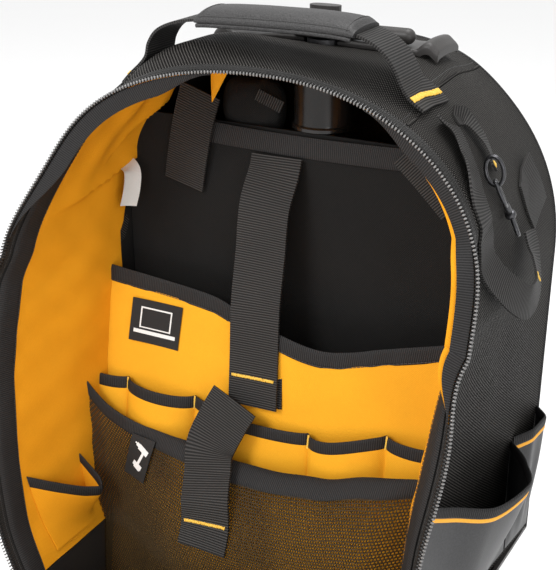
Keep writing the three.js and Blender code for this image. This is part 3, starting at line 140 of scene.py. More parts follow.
def wall(u, v):
    """The outside of the cloth wall: u from low left over the top to low right, v from rim to back."""
    u, v = np.broadcast_arrays(np.asarray(u, float), np.asarray(v, float))
    side = np.where(u < 0.5, -1.0, 1.0)
    level = np.where(u < 0.5, u, 1 - u) / SIDE_SHARE
    arch = level > 1
    angle = np.pi * (1 - (u - SIDE_SHARE) / (1 - 2 * SIDE_SHARE))
    across = np.abs(np.cos(angle)) ** (2 / ARCH_POWER)
    up = np.clip(np.sin(angle), 0, 1) ** (2 / ARCH_POWER)
    z_side = TRAY_HEIGHT + (SPRING - TRAY_HEIGHT) * np.minimum(level, 1)
    z = np.where(arch, SPRING + (RIM_HEIGHT - SPRING) * up, z_side)
    z_back = np.where(arch, SPRING + (RIM_HEIGHT + BACK_RISE - SPRING) * up, z_side)
    dip = np.where(side < 0, 1 - SHOULDER_DIP * np.exp(-(((up - 0.495) / 0.373) ** 2)), 1)
    spread = np.where(side < 0, SPREAD_LEFT, SPREAD_RIGHT) * across * dip
    low = np.where(side < 0, soft_look(LEFT_ROWS, level), soft_look(RIGHT_ROWS, level))
    rim = HALF_WIDTH * np.where(arch, spread, low)
    back = HALF_WIDTH * np.where(arch, across, 1)
    right = side > 0
    far = (z - SPRING) / np.where(z > SPRING, DENT_ABOVE, DENT_BELOW)
    dent = np.where(right, RIGHT_DENT * np.exp(-(far ** 2)), 0)
    rim = rim - dent
    flare_right = LIP_FLARE * smooth((LIP_TOP - z) / 50) * (1 - 0.3 * smooth((300 - z) / 200))
    flare_right = np.maximum(0, flare_right - dent)
    flare_left = np.clip(rim - HALF_WIDTH * 1.04, 0, 45) * smooth((LIP_TOP - z) / 60)
    flare = np.where(right, flare_right, flare_left)
    share = np.where(right, LIP_SHARE, 0.6)
    power = np.where(right, 1.4, 1.3)
    neck = rim - flare
    x = neck + (back - neck) * v + flare * np.maximum(0, 1 - v / share) ** power
    y0 = rim_y(z)
    z = z + (z_back - z) * v + roll_rise(u, v)
    return np.stack([side * x, y0 + (BACK_Y - y0) * v, z], -1)


def unit(a):
    return a / np.maximum(np.linalg.norm(a, axis=-1, keepdims=True), 1e-9)


STEP = 0.0015


def wall_normal(u, v):
    du = wall(np.clip(u + STEP, 0, 1), v) - wall(np.clip(u - STEP, 0, 1), v)
    dv = wall(u, v + STEP) - wall(u, v - STEP)
    n = unit(np.cross(du, dv))
    p = wall(u, v)
    outward = np.stack([p[..., 0], 0 * p[..., 0], np.maximum(0, p[..., 2] - SPRING)], -1)
    return n * np.where((n * outward).sum(-1) < 0, -1.0, 1.0)[..., None]


def shell(u, v, depth):
    return wall(u, v) - wall_normal(u, v) * np.asarray(depth, float)[..., None]


PACE = 0.004
RIM_V = np.arange(0, 0.6, PACE)


def rim_share(u, width):
    """The share v at which a strip that starts at the rim is this wide."""
    u = np.asarray(u, float)
    line = wall(u[..., None], RIM_V)
    run = np.concatenate([np.zeros(u.shape + (1,)),
                          np.cumsum(np.linalg.norm(np.diff(line, axis=-2), axis=-1), -1)], -1)
    flat = run.reshape(-1, run.shape[-1])
    out = [np.interp(width, row, RIM_V) for row in flat]
    return np.array(out).reshape(u.shape)


def share_at_y(u, y):
    start = wall(u, 0 * np.asarray(u, float))[..., 1]
    return (y - start) / (BACK_Y - start)


def wall_at(side, y, z, depth):
    """The point of the wall, at a depth, that has this y and z on one side of the bag."""
    y, z, depth = np.broadcast_arrays(*(np.asarray(a, float) for a in (y, z, depth)))
    u = np.full(y.shape, 0.2 if side < 0 else 0.8)
    v = np.full(y.shape, 0.5)
    for _ in range(10):
        p = shell(u, v, depth)
        zu = (shell(u + STEP, v, depth) - p)[..., 2] / STEP
        yv = (shell(u, v + STEP, depth) - p)[..., 1] / STEP
        u = u + np.clip((z - p[..., 2]) / zu, -0.08, 0.08)
        u = np.clip(u, 0, 0.49) if side < 0 else np.clip(u, 0.51, 1 - STEP)
        v = np.clip(v + (y - p[..., 1]) / yv, -0.1, 1.2)
    return shell(u, v, depth)


def wall_x(side, y, z, depth):
    spare = 1.2 * smooth((110 - z) / 20)
    return wall_at(side, y, np.maximum(z, TRAY_HEIGHT + 0.5), depth + spare)[..., 0]


def crossing(s, y, z, depth):
    left = wall_x(-1, y, z, depth)
    right = wall_x(1, y, z, depth)
    return left + (right - left) * s


def inside(s, y, z, depth):
    """Points between the two side walls, s of the way across."""
    return np.stack([crossing(s, y, z, depth), y, z], -1)


# Materials
def node(tree, kind, **settings):
    n = tree.nodes.new(kind)
    for key, value in settings.items():
        if key.startswith("in_"):
            name = key[3:]
            n.inputs[int(name) if name.isdigit() else name.replace("_", " ")].default_value = value
        else:
            setattr(n, key, value)
    return n


def maths(tree, operation, a, b=None):
    n = node(tree, "ShaderNodeMath", operation=operation)
    for k, value in enumerate((a, b)):
        if value is None:
            continue
        if isinstance(value, (int, float)):
            n.inputs[k].default_value = value
        else:
            tree.links.new(value, n.inputs[k])
    return n.outputs[0]


def mix(tree, factor, low, high):
    n = node(tree, "ShaderNodeMix", data_type="RGBA")
    tree.links.new(factor, n.inputs["Factor"])
    for key, value in (("A", low), ("B", high)):
        socket = [i for i in n.inputs if i.name == key and i.type == "RGBA"][0]
        if isinstance(value, tuple):
            socket.default_value = (*value, 1)
        else:
            tree.links.new(value, socket)
    return [o for o in n.outputs if o.type == "RGBA"][0]


def ramp(tree, factor, low, high):
    n = node(tree, "ShaderNodeMapRange", in_1=low, in_2=high)
    tree.links.new(factor, n.inputs[0])
    return n.outputs[0]


def material(name, dark, light, rough, pattern="plain", pitch=(1.5, 1.5), bump=0.3, metal=0.0,
             blotch=0.25, grain=900.0, coat=0.0, spec=0.5, tones=(0.25, 0.95),
             fuzz=0.3, rough_spread=0.12):
    """A finish with its own thread pattern. pitch is in millimetres along the piece's own two ways."""
    m = bpy.data.materials.new(name)
    m.use_nodes = True
    t = m.node_tree
    shader = t.nodes["Principled BSDF"]
    shader.inputs["Metallic"].default_value = metal
    shader.inputs["Specular IOR Level"].default_value = spec
    shader.inputs["Coat Weight"].default_value = coat
    uv = node(t, "ShaderNodeUVMap", uv_map="uv")
    split = node(t, "ShaderNodeSeparateXYZ")
    t.links.new(uv.outputs[0], split.inputs[0])
    where = node(t, "ShaderNodeTexCoord")
    fine = node(t, "ShaderNodeTexNoise", in_Scale=grain, in_Detail=3.0)
    t.links.new(where.outputs["Object"], fine.inputs["Vector"])
    wide = node(t, "ShaderNodeTexNoise", in_Scale=14.0, in_Detail=4.0, in_Roughness=0.6)
    t.links.new(where.outputs["Object"], wide.inputs["Vector"])
    height = fine.outputs["Fac"]
    if pattern != "grain":
        along = maths(t, "SINE", maths(t, "MULTIPLY", split.outputs[0], 2000 * math.pi / pitch[0]))
        across = maths(t, "SINE", maths(t, "MULTIPLY", split.outputs[1], 2000 * math.pi / pitch[1]))
        both = maths(t, "MULTIPLY", along, across)
        if pattern == "ribs":
            both = maths(t, "ADD", maths(t, "MULTIPLY", across, 0.8), maths(t, "MULTIPLY", both, 0.2))
        woven = maths(t, "ADD", maths(t, "MULTIPLY", both, 0.5), 0.5)
        height = maths(t, "ADD", maths(t, "MULTIPLY", woven, 1 - fuzz),
                       maths(t, "MULTIPLY", fine.outputs["Fac"], fuzz))
    colour = mix(t, ramp(t, height, *tones), dark, light)
    worn = mix(t, ramp(t, wide.outputs["Fac"], 0.35, 0.7), (1 - blotch,) * 3, (1.0, 1.0, 1.0))
    times = node(t, "ShaderNodeMix", data_type="RGBA", blend_type="MULTIPLY")
    times.inputs["Factor"].default_value = 1.0
    sockets = [i for i in times.inputs if i.type == "RGBA"]
    t.links.new(colour, sockets[0])
    t.links.new(worn, sockets[1])
    t.links.new([o for o in times.outputs if o.type == "RGBA"][0], shader.inputs["Base Color"])
    spread = maths(t, "MULTIPLY", maths(t, "SUBTRACT", wide.outputs["Fac"], 0.5), rough_spread * 2)
    t.links.new(maths(t, "ADD", spread, rough), shader.inputs["Roughness"])
    bumper = node(t, "ShaderNodeBump", in_Strength=bump, in_Distance=0.0006)
    t.links.new(height, bumper.inputs["Height"])
    t.links.new(bumper.outputs[0], shader.inputs["Normal"])
    return m


M = {
    "cloth": material("ballistic_weave", (.004, .0038, .0036), (.15, .141, .131), .65,
                      pitch=(2.3, 2.9), bump=.8, spec=.08, tones=(.6, .88), fuzz=.12),
    "side_cloth": material("fine_black_weave", (.007, .0065, .006), (.06, .056, .052), .65,
                           pitch=(1.5, 1.9), bump=.6, spec=.12, tones=(.45, .95), fuzz=.2),
    "inner_black": material("inner_black_cloth", (.005, .005, .005), (.022, .021, .02), .75,
                            pitch=(1.6, 1.8), bump=.5, spec=.12),
    "yellow": material("yellow_lining", (.72, .275, .007), (.9, .4, .014), .75,
                       pitch=(1.1, 1.3), bump=.35, blotch=.1, spec=.15, rough_spread=.05),
    "divider": material("yellow_divider", (.76, .32, .012), (.93, .47, .025), .72,
                        pitch=(1.2, 1.4), bump=.35, blotch=.08, spec=.15, rough_spread=.05),
    "tape": material("ribbed_tape", (.007, .0068, .0066), (.04, .038, .036), .55, "ribs",
                     (1.0, 1.6), .6, blotch=.2, spec=.25),
    "binding": material("grosgrain_binding", (.007, .0068, .007), (.042, .04, .04), .6, "ribs",
                        (.9, 1.7), .6, blotch=.2, spec=.2),
    "web": material("webbing_weave", (.007, .0068, .0066), (.0663, .0624, .0593), .6, "ribs",
                    (1.5, 2.0), .9, blotch=.2, spec=.2, tones=(.3, .95), fuzz=.2),
    "leather": material("padded_leather", (.012, .0115, .0115), (.06, .058, .058), .5, "grain",
                        bump=.5, grain=1100.0, blotch=.2, spec=.35, tones=(.35, .7)),
    "coated": material("coated_cloth", (.02, .02, .021), (.045, .045, .047), .42, "grain",
                       bump=.1, grain=700.0, blotch=.3, spec=.4),
    "plastic": material("moulded_plastic", (.02, .018, .017), (.042, .038, .036), .42, "grain",
                        bump=.15, grain=1500.0, blotch=.2, spec=.45),
    "gloss": material("glossy_housing", (.008, .007, .0065), (.02, .017, .015), .26, "grain",
                      bump=.03, grain=300.0, blotch=.3, coat=.15, spec=.35, rough_spread=.05),
    "metal": material("black_metal", (.05, .05, .053), (.1, .1, .106), .28, "grain",
                      bump=.05, metal=.85, blotch=.2),
    "alloy": material("dark_alloy", (.12, .12, .125), (.18, .18, .19), .34, "grain",
                      bump=.05, metal=.9),
    "tooth_feet": material("zip_tooth_feet", (.008, .008, .008), (.03, .029, .028), .3, "grain",
                           bump=.05, grain=900.0, blotch=.2),
    # The zip's teeth are all one black plastic: the heads' lighter grey is a painted highlight, and the
    # feet keep the plain black.
    "teeth": material("zip_teeth", (.09, .088, .086), (.3, .292, .284), .2, "grain",
                      bump=.03, blotch=.2, coat=.6, rough_spread=.04),
    "net": material("net_cord", (.02, .012, .005), (.1, .06, .02), .6, "grain", bump=.3,
                    spec=.2),
    "orange": material("orange_trim", (.8, .34, .03), (.98, .52, .06), .5, "ribs",
                       (1.0, 1.2), .3, blotch=.1, spec=.2),
    "thread": material("yellow_thread", (.75, .42, .03), (1.0, .72, .16), .4, "grain",
                       bump=.3, blotch=.1, spec=.4),
    "black_thread": material("black_thread", (.012, .012, .012), (.07, .067, .065), .5, "grain",
                             bump=.3),
    "rubber": material("wheel_rubber", (.012, .012, .012), (.03, .03, .03), .75, "grain", bump=.2,
                       spec=.3),
    "white": material("satin_ribbon", (.62, .62, .6), (.84, .84, .82), .35, "ribs",
                      (.5, .9), .2, blotch=.1),
    "label": material("woven_label", (.012, .012, .012), (.035, .035, .035), .6, "plain",
                      (.9, .9), .3, spec=.25),
    "print": material("label_print", (.68, .68, .67), (.9, .9, .88), .55, "grain", bump=.1,
                      blotch=.08),
}


# Mesh making
# A slot name for each material, for a piece that isn't given one; make looks it up, but nothing uses it
SLOTS = {}
for slot, kinds in {
        "black_cloth": "cloth side_cloth inner_black", "yellow_cloth": "yellow divider",
        "binding_tape": "tape binding orange teeth tooth_feet", "padded_grip": "leather",
        "webbing": "web thread black_thread", "coated_cloth": "coated", "net": "net",
        "housing_plastic": "gloss", "pole_metal": "alloy", "dark_metal": "metal",
        "icon_label": "label print", "satin_label": "white"}.items():
    SLOTS.update((kind, slot) for kind in kinds.split())


def make(name, verts, faces, mat, uv, body="bag", slot=None, replaces=None, angle=40):
    mesh = bpy.data.meshes.new(name)
    verts = np.asarray(verts, float) * 0.001
    faces = np.asarray(faces, int)
    mesh.vertices.add(len(verts))
    mesh.vertices.foreach_set("co", verts.ravel())
    mesh.loops.add(faces.size)
    mesh.loops.foreach_set("vertex_index", faces.ravel())
    mesh.polygons.add(len(faces))
    mesh.polygons.foreach_set("loop_start", np.arange(0, faces.size, faces.shape[1]))
    mesh.update(calc_edges=True)
    layer = mesh.uv_layers.new(name="uv")
    flat = np.asarray(uv, float) * 0.001
    layer.data.foreach_set("uv", flat[faces.ravel()].ravel())
    mesh.validate()
    mesh.polygons.foreach_set("use_smooth", np.ones(len(mesh.polygons), bool))
    mesh.set_sharp_from_angle(angle=math.radians(angle))
    mesh.materials.append(M[mat])
    o = add(name, mesh)
    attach(o, body)
    slot = slot or SLOTS.get(mat)
    if replaces:
        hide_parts(replaces)
    return o


def faced_out(verts, faces):
    """The faces of a closed form, turned to face out."""
    a, b, c = (verts[faces[:, k]] for k in range(3))
    total = (a * np.cross(b, c)).sum()
    if faces.shape[1] == 4:
        d = verts[faces[:, 3]]
        total += (a * np.cross(c, d)).sum()
    return faces[:, ::-1] if total < 0 else faces


def quads(rows, columns, rows_close=False, columns_close=False):
    """Faces of a grid of points, joined end to end where a way closes."""
    i, j = np.meshgrid(np.arange(rows - (not rows_close)), np.arange(columns - (not columns_close)),
                       indexing="ij")
    b, c = (i + 1) % rows, (j + 1) % columns
    return np.stack([(p * columns + q).ravel() for p, q in ((i, j), (b, j), (b, c), (i, c))], 1)


def lengths(P, axis):
    run = np.linalg.norm(np.diff(P, axis=axis), axis=-1).mean(axis=1 - axis)
    return np.concatenate([[0], np.cumsum(run)])


def skin(near, far):
    """Vertices, faces and flat coordinates of a closed skin between two grids."""
    rows, columns = near.shape[:2]
    verts = np.concatenate([near.reshape(-1, 3), far.reshape(-1, 3)])
    half = rows * columns
    q = quads(rows, columns)
    faces = [q, q[:, ::-1] + half]
    long_edge, end_edge = np.arange(rows) * columns, np.arange(columns)
    for edge in (long_edge[::-1], long_edge + columns - 1, end_edge, end_edge[::-1] + half - columns):
        e = np.stack([edge[:-1], edge[1:]], 1)
        faces.append(np.concatenate([e, e[:, ::-1] + half], 1))
    faces = faced_out(verts, np.concatenate(faces))
    U, Vv = np.meshgrid(lengths(near, 0), lengths(near, 1), indexing="ij")
    uv = np.stack([U.ravel(), Vv.ravel()], 1)
    return verts, faces, np.concatenate([uv, uv])


def normals(P):
    return unit(np.cross(np.gradient(P, axis=0), np.gradient(P, axis=1)))


def plate(name, P, half, mat, edge=0.0, **kw):
    """A cloth piece of a thickness laid both ways off a grid. edge rounds its long sides."""
    n = normals(P)
    t = np.linspace(-1, 1, P.shape[1])
    thick = half * (1 - edge * np.abs(t) ** 6)[None, :, None]
    v, f, uv = skin(P + n * thick, P - n * thick)
    if mat in ("binding", "web", "tape", "orange"):
        uv = uv[:, ::-1]
    return make(name, v, f, mat, uv, **kw)


def grid(nu, nv):
    return np.meshgrid(np.linspace(0, 1, nu + 1), np.linspace(0, 1, nv + 1), indexing="ij")


def spline(points, count):
    """Points at even steps along a smooth line through the given ones."""
    p = np.asarray(points, float)
    p = np.concatenate([[2 * p[0] - p[1]], p, [2 * p[-1] - p[-2]]])
    out = []
    for k in range(1, len(p) - 2):
        a, b, c, d = p[k - 1:k + 3]
        ta = np.linalg.norm(b - a) ** 0.5
        tb = ta + np.linalg.norm(c - b) ** 0.5
        tc = tb + np.linalg.norm(d - c) ** 0.5
        t = np.linspace(ta, tb, 24, endpoint=k == len(p) - 3)[:, None]
        a1 = (ta - t) / ta * a + t / ta * b
        a2 = (tb - t) / (tb - ta) * b + (t - ta) / (tb - ta) * c
        a3 = (tc - t) / (tc - tb) * c + (t - tb) / (tc - tb) * d
        b1 = (tb - t) / tb * a1 + t / tb * a2
        b2 = (tc - t) / (tc - ta) * a2 + (t - ta) / (tc - ta) * a3
        out.append((tb - t) / (tb - ta) * b1 + (t - ta) / (tb - ta) * b2)
    p = np.concatenate(out)
    run = run_along(p)
    return at_runs(np.linspace(0, run[-1], count), run, p), run[-1]


def ribbon(points, width, facing, count=80, across_steps=8, cup=0.0):
    """A grid for a strap: width may be a number or one for each step; facing is its broad side."""
    line, _ = spline(points, count)
    along = unit(np.gradient(line, axis=0))
    out = np.array([facing(p, k / (count - 1)) for k, p in enumerate(line)], float)
    across = unit(np.cross(along, out))
    normal = unit(np.cross(across, along))
    t = np.linspace(-0.5, 0.5, across_steps + 1)
    w = np.broadcast_to(np.asarray(width, float), (count,))[:, None, None]
    P = line[:, None] + across[:, None] * t[None, :, None] * w
    return P + normal[:, None] * (cup * (4 * t ** 2 - 1))[None, :, None]


def off_the_wall(P, side, clear):
    """Lifts a grid of points clear of the bag's outer wall."""
    limit = wall_at(side, P[..., 1], P[..., 2], -clear)[..., 0]
    x = np.where(side * (P[..., 0] - limit) < 0, limit, P[..., 0])
    return np.stack([x, P[..., 1], P[..., 2]], -1)


STRAPS = {}


def strap(name, points, width, facing, mat="web", half=0.9, count=80, cup=0.0, wall_side=0,
          change=None, **kw):
    """A webbing strap along a line; its face grid is kept, for what is sewn on it."""
    P = ribbon(points, width, facing, count, 8, cup)
    if wall_side:
        P = off_the_wall(P, wall_side, half + 0.7)
    if change:
        P = change(P)
    P = np.swapaxes(P, 0, 1)[::-1]
    n = normals(P)
    STRAPS[name] = (P, n, half)
    v, f, uv = skin(P + n * half, P - n * half)
    return make(name, v, f, mat, uv, **kw)


def run_of(points):
    """The length of a strap's line in metres."""
    return float(spline(points, 80)[1]) / 1000


def sewn(name, p, up, along, scale, mat):
    """Stitches at the points p, each along its own way."""
    side = unit(np.cross(up, along))
    v, f = scatter((STITCH[0] * scale, STITCH[1]), p, side, up, along)
    make(name, v, f, mat, v[:, :2])


def tack(name, strap_name, at, towards, length, inset):
    """A dense zigzag of yellow thread sewn across a strap, at a share of its length."""
    P, n, half = STRAPS[strap_name]
    k = min(int(at * (P.shape[1] - 1)), P.shape[1] - 2)
    row, up, along = P[:, k], n[:, k], np.gradient(P, axis=1)[:, k]
    up = up * np.where((up @ np.asarray(towards, float)) < 0, -1, 1)[:, None]
    run = run_along(row)
    at = np.arange(inset, run[-1] - inset, 0.6)
    up, along = unit(at_runs(at, run, up)), unit(at_runs(at, run, along))
    side = unit(np.cross(along, up))
    lean = np.where(np.arange(len(at)) % 2, 0.2, -0.2)
    d = unit(along + side * lean[:, None]) * (length / STITCH_LONG)
    p = at_runs(at, run, row) + up * (half + 0.3) + rng.normal(0, 0.12, (len(at), 3))
    sewn(name, p, up, d, [1.3, 1.7, 1.0], "thread")


def tube_mesh(line, radius, sides=8, closed=False):
    """A round tube along a line; radius may be a number or one for each point."""
    line = np.asarray(line, float)
    n = len(line)
    if closed:
        along = unit(np.roll(line, -1, 0) - np.roll(line, 1, 0))
    else:
        along = unit(np.gradient(line, axis=0))
    side = unit(np.cross(along, np.array([0.3, 0.2, 1.0])))
    other = np.cross(along, side)
    a = np.linspace(0, 2 * np.pi, sides, endpoint=False)
    ring = side[:, None] * np.cos(a)[None, :, None] + other[:, None] * np.sin(a)[None, :, None]
    r = np.broadcast_to(np.asarray(radius, float), (n,))[:, None, None]
    verts = (line[:, None] + ring * r).reshape(-1, 3)
    faces = quads(n, sides, closed, True)
    if not closed:
        ends = []
        for base, flip in ((0, 1), ((n - 1) * sides, -1)):
            for k in range(1, sides - 1, 2):
                quad = [base, base + k, base + k + 1, base + (k + 2) % sides]
                ends.append(quad[::flip])
        faces = np.concatenate([faces, np.array(ends)])
    return verts, faced_out(verts, faces)


def gather(parts):
    verts, faces, base = [], [], 0
    for v, f in parts:
        verts.append(v)
        faces.append(f + base)
        base += len(v)
    return np.concatenate(verts), np.concatenate(faces)


def stacked(sections):
    """A closed form through rings of eight points; each section is (height, half a, half b)."""
    a = np.arange(8) * np.pi / 4 + np.pi / 8
    rings = []
    for h, ra, rb in sections:
        rings.append(np.stack([ra * np.cos(a) * 1.08, rb * np.sin(a) * 1.08, np.full(8, h)], 1))
    verts = np.concatenate(rings)
    faces = []
    for k in range(len(sections) - 1):
        for j in range(8):
            b = (j + 1) % 8
            faces.append([k * 8 + j, k * 8 + b, k * 8 + 8 + b, k * 8 + 8 + j])
    last = (len(sections) - 1) * 8
    for k in (0, 2, 4):
        faces.append([0, (k + 3) % 8, k + 2, k + 1])
        faces.append([last, last + k + 1, last + k + 2, last + (k + 3) % 8])
    return verts, np.array(faces)


def scatter(template, centres, ax, ay, az):
    """Copies of a small form, each turned to its own three ways."""
    v, f = template
    out = (centres[:, None] + v[None, :, 0, None] * ax[:, None] + v[None, :, 1, None] * ay[:, None]
           + v[None, :, 2, None] * az[:, None])
    n = len(v)
    faces = (f[None] + (np.arange(len(centres)) * n)[:, None, None]).reshape(-1, f.shape[1])
    return out.reshape(-1, 3), faces


STITCH_LONG = 2.7
STITCH = stacked([(-STITCH_LONG / 2, .16, .16), (-1.0, .3, .3), (1.0, .3, .3), (STITCH_LONG / 2, .16, .16)])


def stitches(name, line, normal, pitch, lift=0.1, scale=1.0):
    """A row of stitches along a line that lies on a surface with the given normals."""
    run = run_along(line)
    at = np.arange(pitch / 2, run[-1], pitch)
    n = unit(at_runs(at, run, normal))
    d = unit(at_runs(at, run, np.gradient(line, axis=0)))
    p = at_runs(at, run, line) + n * lift
    sewn(name, p, n * 0.7, d, scale, "black_thread")


def bartack(name, centre, across, along, normal, width, length):
    """A dense zigzag of yellow thread across an edge."""
    count = int(width / 0.62)
    t = np.linspace(-0.5, 0.5, count)
    jitter = rng.normal(0, 0.12, (count, 3))
    lean = np.where(np.arange(count) % 2, 1.0, -1.0)
    across, along, normal = (unit(np.asarray(a, float)) for a in (across, along, normal))
    p = centre + across * (t * width)[:, None] + normal * 0.25 + jitter * 0.5
    d = unit(along + across * (lean * 0.22)[:, None]) * (length / STITCH_LONG)
    sewn(name, p, np.broadcast_to(normal, d.shape), d, [1.25, 1.5, 1.0], "thread")


# Cloth shell
def lines(u0, u1, rows, nu, splits):
    """A grid of (u, v) cut at the given rows, each row a function of u."""
    u = np.linspace(u0, u1, nu + 1)
    marks = [row(u) for row in rows]
    v = []
    for a, b, n in zip(marks[:-1], marks[1:], splits):
        v += [a + (b - a) * k / n for k in range(n)]
    v.append(marks[-1])
    return np.broadcast_to(u[:, None], (nu + 1, len(v))), np.stack(v, 1)


width_at = lambda w: (lambda u: rim_share(u, w))
y_at = lambda y: (lambda u: share_at_y(u, y))
yellow_end = lambda more: (lambda u: share_at_y(u, look(YELLOW_ROWS, u) + more))
one = lambda value: (lambda u: np.full_like(u, value))


def from_fold(U, V, u, v, turn):
    """Millimetres from a fold's middle, along it and across it."""
    a, b = (U - u) * WALL_RUN, (V - v) * WALL_DEEP
    c, s = math.cos(turn), math.sin(turn)
    return a * c + b * s, -a * s + b * c


def ripples(U, V, rows):
    """Soft folds: each row is (u, v, reach along u, reach along v, turn, height)."""
    out = np.zeros_like(U)
    for u, v, reach, width, turn, height in rows:
        x, y = from_fold(U, V, u, v, turn)
        out += height * np.exp(-(x / reach) ** 2 - (y / width) ** 2)
    return out


OUTER_FOLDS = [
    (.74, .45, 60, 12, .7, 1.2), (.76, .6, 60, 16, .2, -1.5), (.80, .5, 50, 18, -.3, 1.3),
    (.88, .55, 60, 20, .4, -1.2), (.30, .5, 60, 16, .4, -1.6), (.22, .6, 60, 20, -.4, 1.3),
    (.12, .5, 60, 22, .3, -1.3), (.36, .5, 40, 12, .9, 1.0),
]


def cloth_panel(name, u0, u1, nu, mat, replaces):
    U, V = lines(u0, u1, [width_at(TAPE_WIDTH - 1), width_at(BINDING_END), one(1.0)], nu, [8, 34])
    push = ripples(U, V, OUTER_FOLDS)
    edge = 0.9 * np.exp(-((V[:, :1] - V) * WALL_DEEP / 2.2) ** 2)
    outer = shell(U, V, -push - 0.15 + edge)
    inner = shell(U, V, CLOTH - push)
    v, f, uv = skin(outer, inner)
    return make(name, v, f, mat, uv, replaces=replaces)


cloth_panel("top_panel", SEAM_LEFT, SEAM_RIGHT, 60, "cloth", "gusset_top")
cloth_panel("left_panel", 0, SEAM_LEFT - 0.001, 130, "cloth", "gusset_left")
cloth_panel("right_panel", SEAM_RIGHT + 0.001, 1, 150, "cloth", "gusset_right")

# Seams where the panels meet: a raised fold and a row of stitches
for seam, name in ((SEAM_LEFT, "left"), (SEAM_RIGHT, "right")):
    v = np.linspace(rim_share(np.array(seam), TAPE_WIDTH), 1, 60)
    u = np.full_like(v, seam)
    verts, faces = tube_mesh(shell(u, v, 0.1), 1.1, 8)
    make(f"top_seam_{name}", verts, faces, "cloth", verts[:, 1:])
    strip_u, strip_v = np.meshgrid(seam + np.linspace(-0.006, 0.006, 7), v, indexing="ij")
    plate(f"top_seam_backing_{name}", shell(strip_u, strip_v, 2.1), 0.3, "inner_black")
    shift = 0.0035 if name == "left" else -0.0035
    stitches(f"top_seam_stitches_{name}", wall(u + shift, v), wall_normal(u, v), 3.4, 0.2)

# The rim's binding hangs inward at both shoulders; beyond the right one the lining peeps out
RIM_FACINGS = [("left", 0.33, 0.482, 0.05, 0.03, 11.5, 0.25),
               ("right", 0.548, 0.735, 0.03, 0.05, 10.0, 0.3)]
for side_name, first, last, grows, ends, width, back in RIM_FACINGS:
    u = np.linspace(first, last, 140)
    v = rim_share(u, 1.0)
    start = shell(u, v, 2.5)
    inward = unit(-wall_normal(u, v) + np.array([0.0, back, 0.0]))
    reach = 1.0 + width * smooth((u - first) / grows) * smooth((last - u) / ends)
    t = np.linspace(0, 1, 9)
    P = start[:, None] + inward[:, None] * (reach[:, None] * t)[..., None]
    plate(f"rim_facing_{side_name}", P, 0.7, "binding", 0.4)
    if side_name == "right":
        sliver = 0.6 + 3.6 * smooth((u - 0.57) / 0.06) * smooth((last - u) / 0.05)
        past = start + inward * (reach - 1.5)[:, None] + np.array([0.0, 2.4, 0.0])
        P = past[:, None] + inward[:, None] * ((sliver + 1.5)[:, None] * t)[..., None]
        plate("lining_edge_right", P, 0.4, "yellow")

# Back edge piping
u = np.linspace(0, 1, 240)
verts, faces = tube_mesh(shell(u, np.ones_like(u), 0.8), 1.9, 10)
make("back_piping", verts, faces, "binding", verts[:, [0, 2]])

# Lining, with the slack folds of its upper left
LINING_FOLDS = [
    (.405, .36, 16, 12, .3, 4), (.375, .30, 30, 11, .35, 3), (.30, .38, 50, 16, .35, 2),
    (.22, .36, 60, 18, .15, 2), (.15, .30, 60, 16, -.1, 1.5), (.10, .36, 60, 16, .1, 1.5),
    (.63, .35, 24, 10, -.8, 2), (.70, .4, 50, 12, -.2, 1.5),
]
# Sharp creases: a slack roll above, a sudden drop below it
LINING_CREASES = [
    (.352, .44, 50, 13, 1.3, 5), (.392, .50, 26, 10, 1.0, 4.5), (.372, .40, 20, 7, .7, 2.5),
]


def rolls(U, V, rows):
    """Rolls of slack cloth, each with one soft side and one sharp one."""
    out = np.zeros_like(U)
    for u, v, reach, width, turn, height in rows:
        x, y = from_fold(U, V, u, v, turn)
        y = y / np.where(y < 0, width, width * 0.16)
        out = np.maximum(out, height * np.exp(-(x / reach) ** 4 - np.abs(y) ** 1.6))
    return out


def lining_panel(name, u0, u1, nu, replaces):
    U, V = lines(u0, u1, [width_at(BINDING_END - 4), yellow_end(0)], nu, [50])
    fade = (smooth((V - V[:, :1]) * WALL_DEEP / 8) * smooth((V[:, -1:] - V) * WALL_DEEP / 3 + 0.3))
    push = (ripples(U, V, LINING_FOLDS) + rolls(U, V, LINING_CREASES)) * fade
    push = push + 0.5 * np.sin(U * 160 + 9 * V) * np.sin(V * 31 + 20 * U) * fade
    push = np.maximum(push, -0.8)
    face = shell(U, V, LINING_IN + push + 0.6)
    v, f, uv = skin(face, shell(U, V, LINING_OUT + 0.2))
    return make(name, v, f, "yellow", uv, replaces=replaces)


lining_panel("lining_cloth_left", 0, 0.5, 250, "lining_left")
lining_panel("lining_cloth_right", 0.5, 1, 110, "lining_right")
U, V = lines(0, 1, [yellow_end(GAP), y_at(BACK_Y - 1)], 200, [10])
v, f, uv = skin(shell(U, V, LINING_IN), shell(U, V, LINING_OUT))
make("rear_lining_cloth", v, f, "inner_black", uv, replaces="lining_rear")

# Zip tape and the moulded teeth on its edge
U, V = lines(0, 1, [one(0.0), width_at(TAPE_WIDTH)], 420, [6])
v, f, uv = skin(wall(U, V), shell(U, V, TAPE))
make("zip_tape_cloth", v, f, "tape", uv[:, ::-1], replaces="zip_tape")

dense = np.linspace(0, 1, 3000)
rim_run = run_along(wall(dense, 0 * dense))
TOOTH_PITCH = 2.6
TOOTH_HEAD = [(-2.9, .2, .4), (-2.7, .6, .95), (-2.1, .78, 1.3), (-1.5, .6, .95), (-1.3, .2, .4)]
TOOTH_FOOT = [(-1.2, .35, .7), (.3, .5, 1.1), (.9, .8, 1.55), (2.8, .7, 1.45), (3.2, .25, 1.0)]


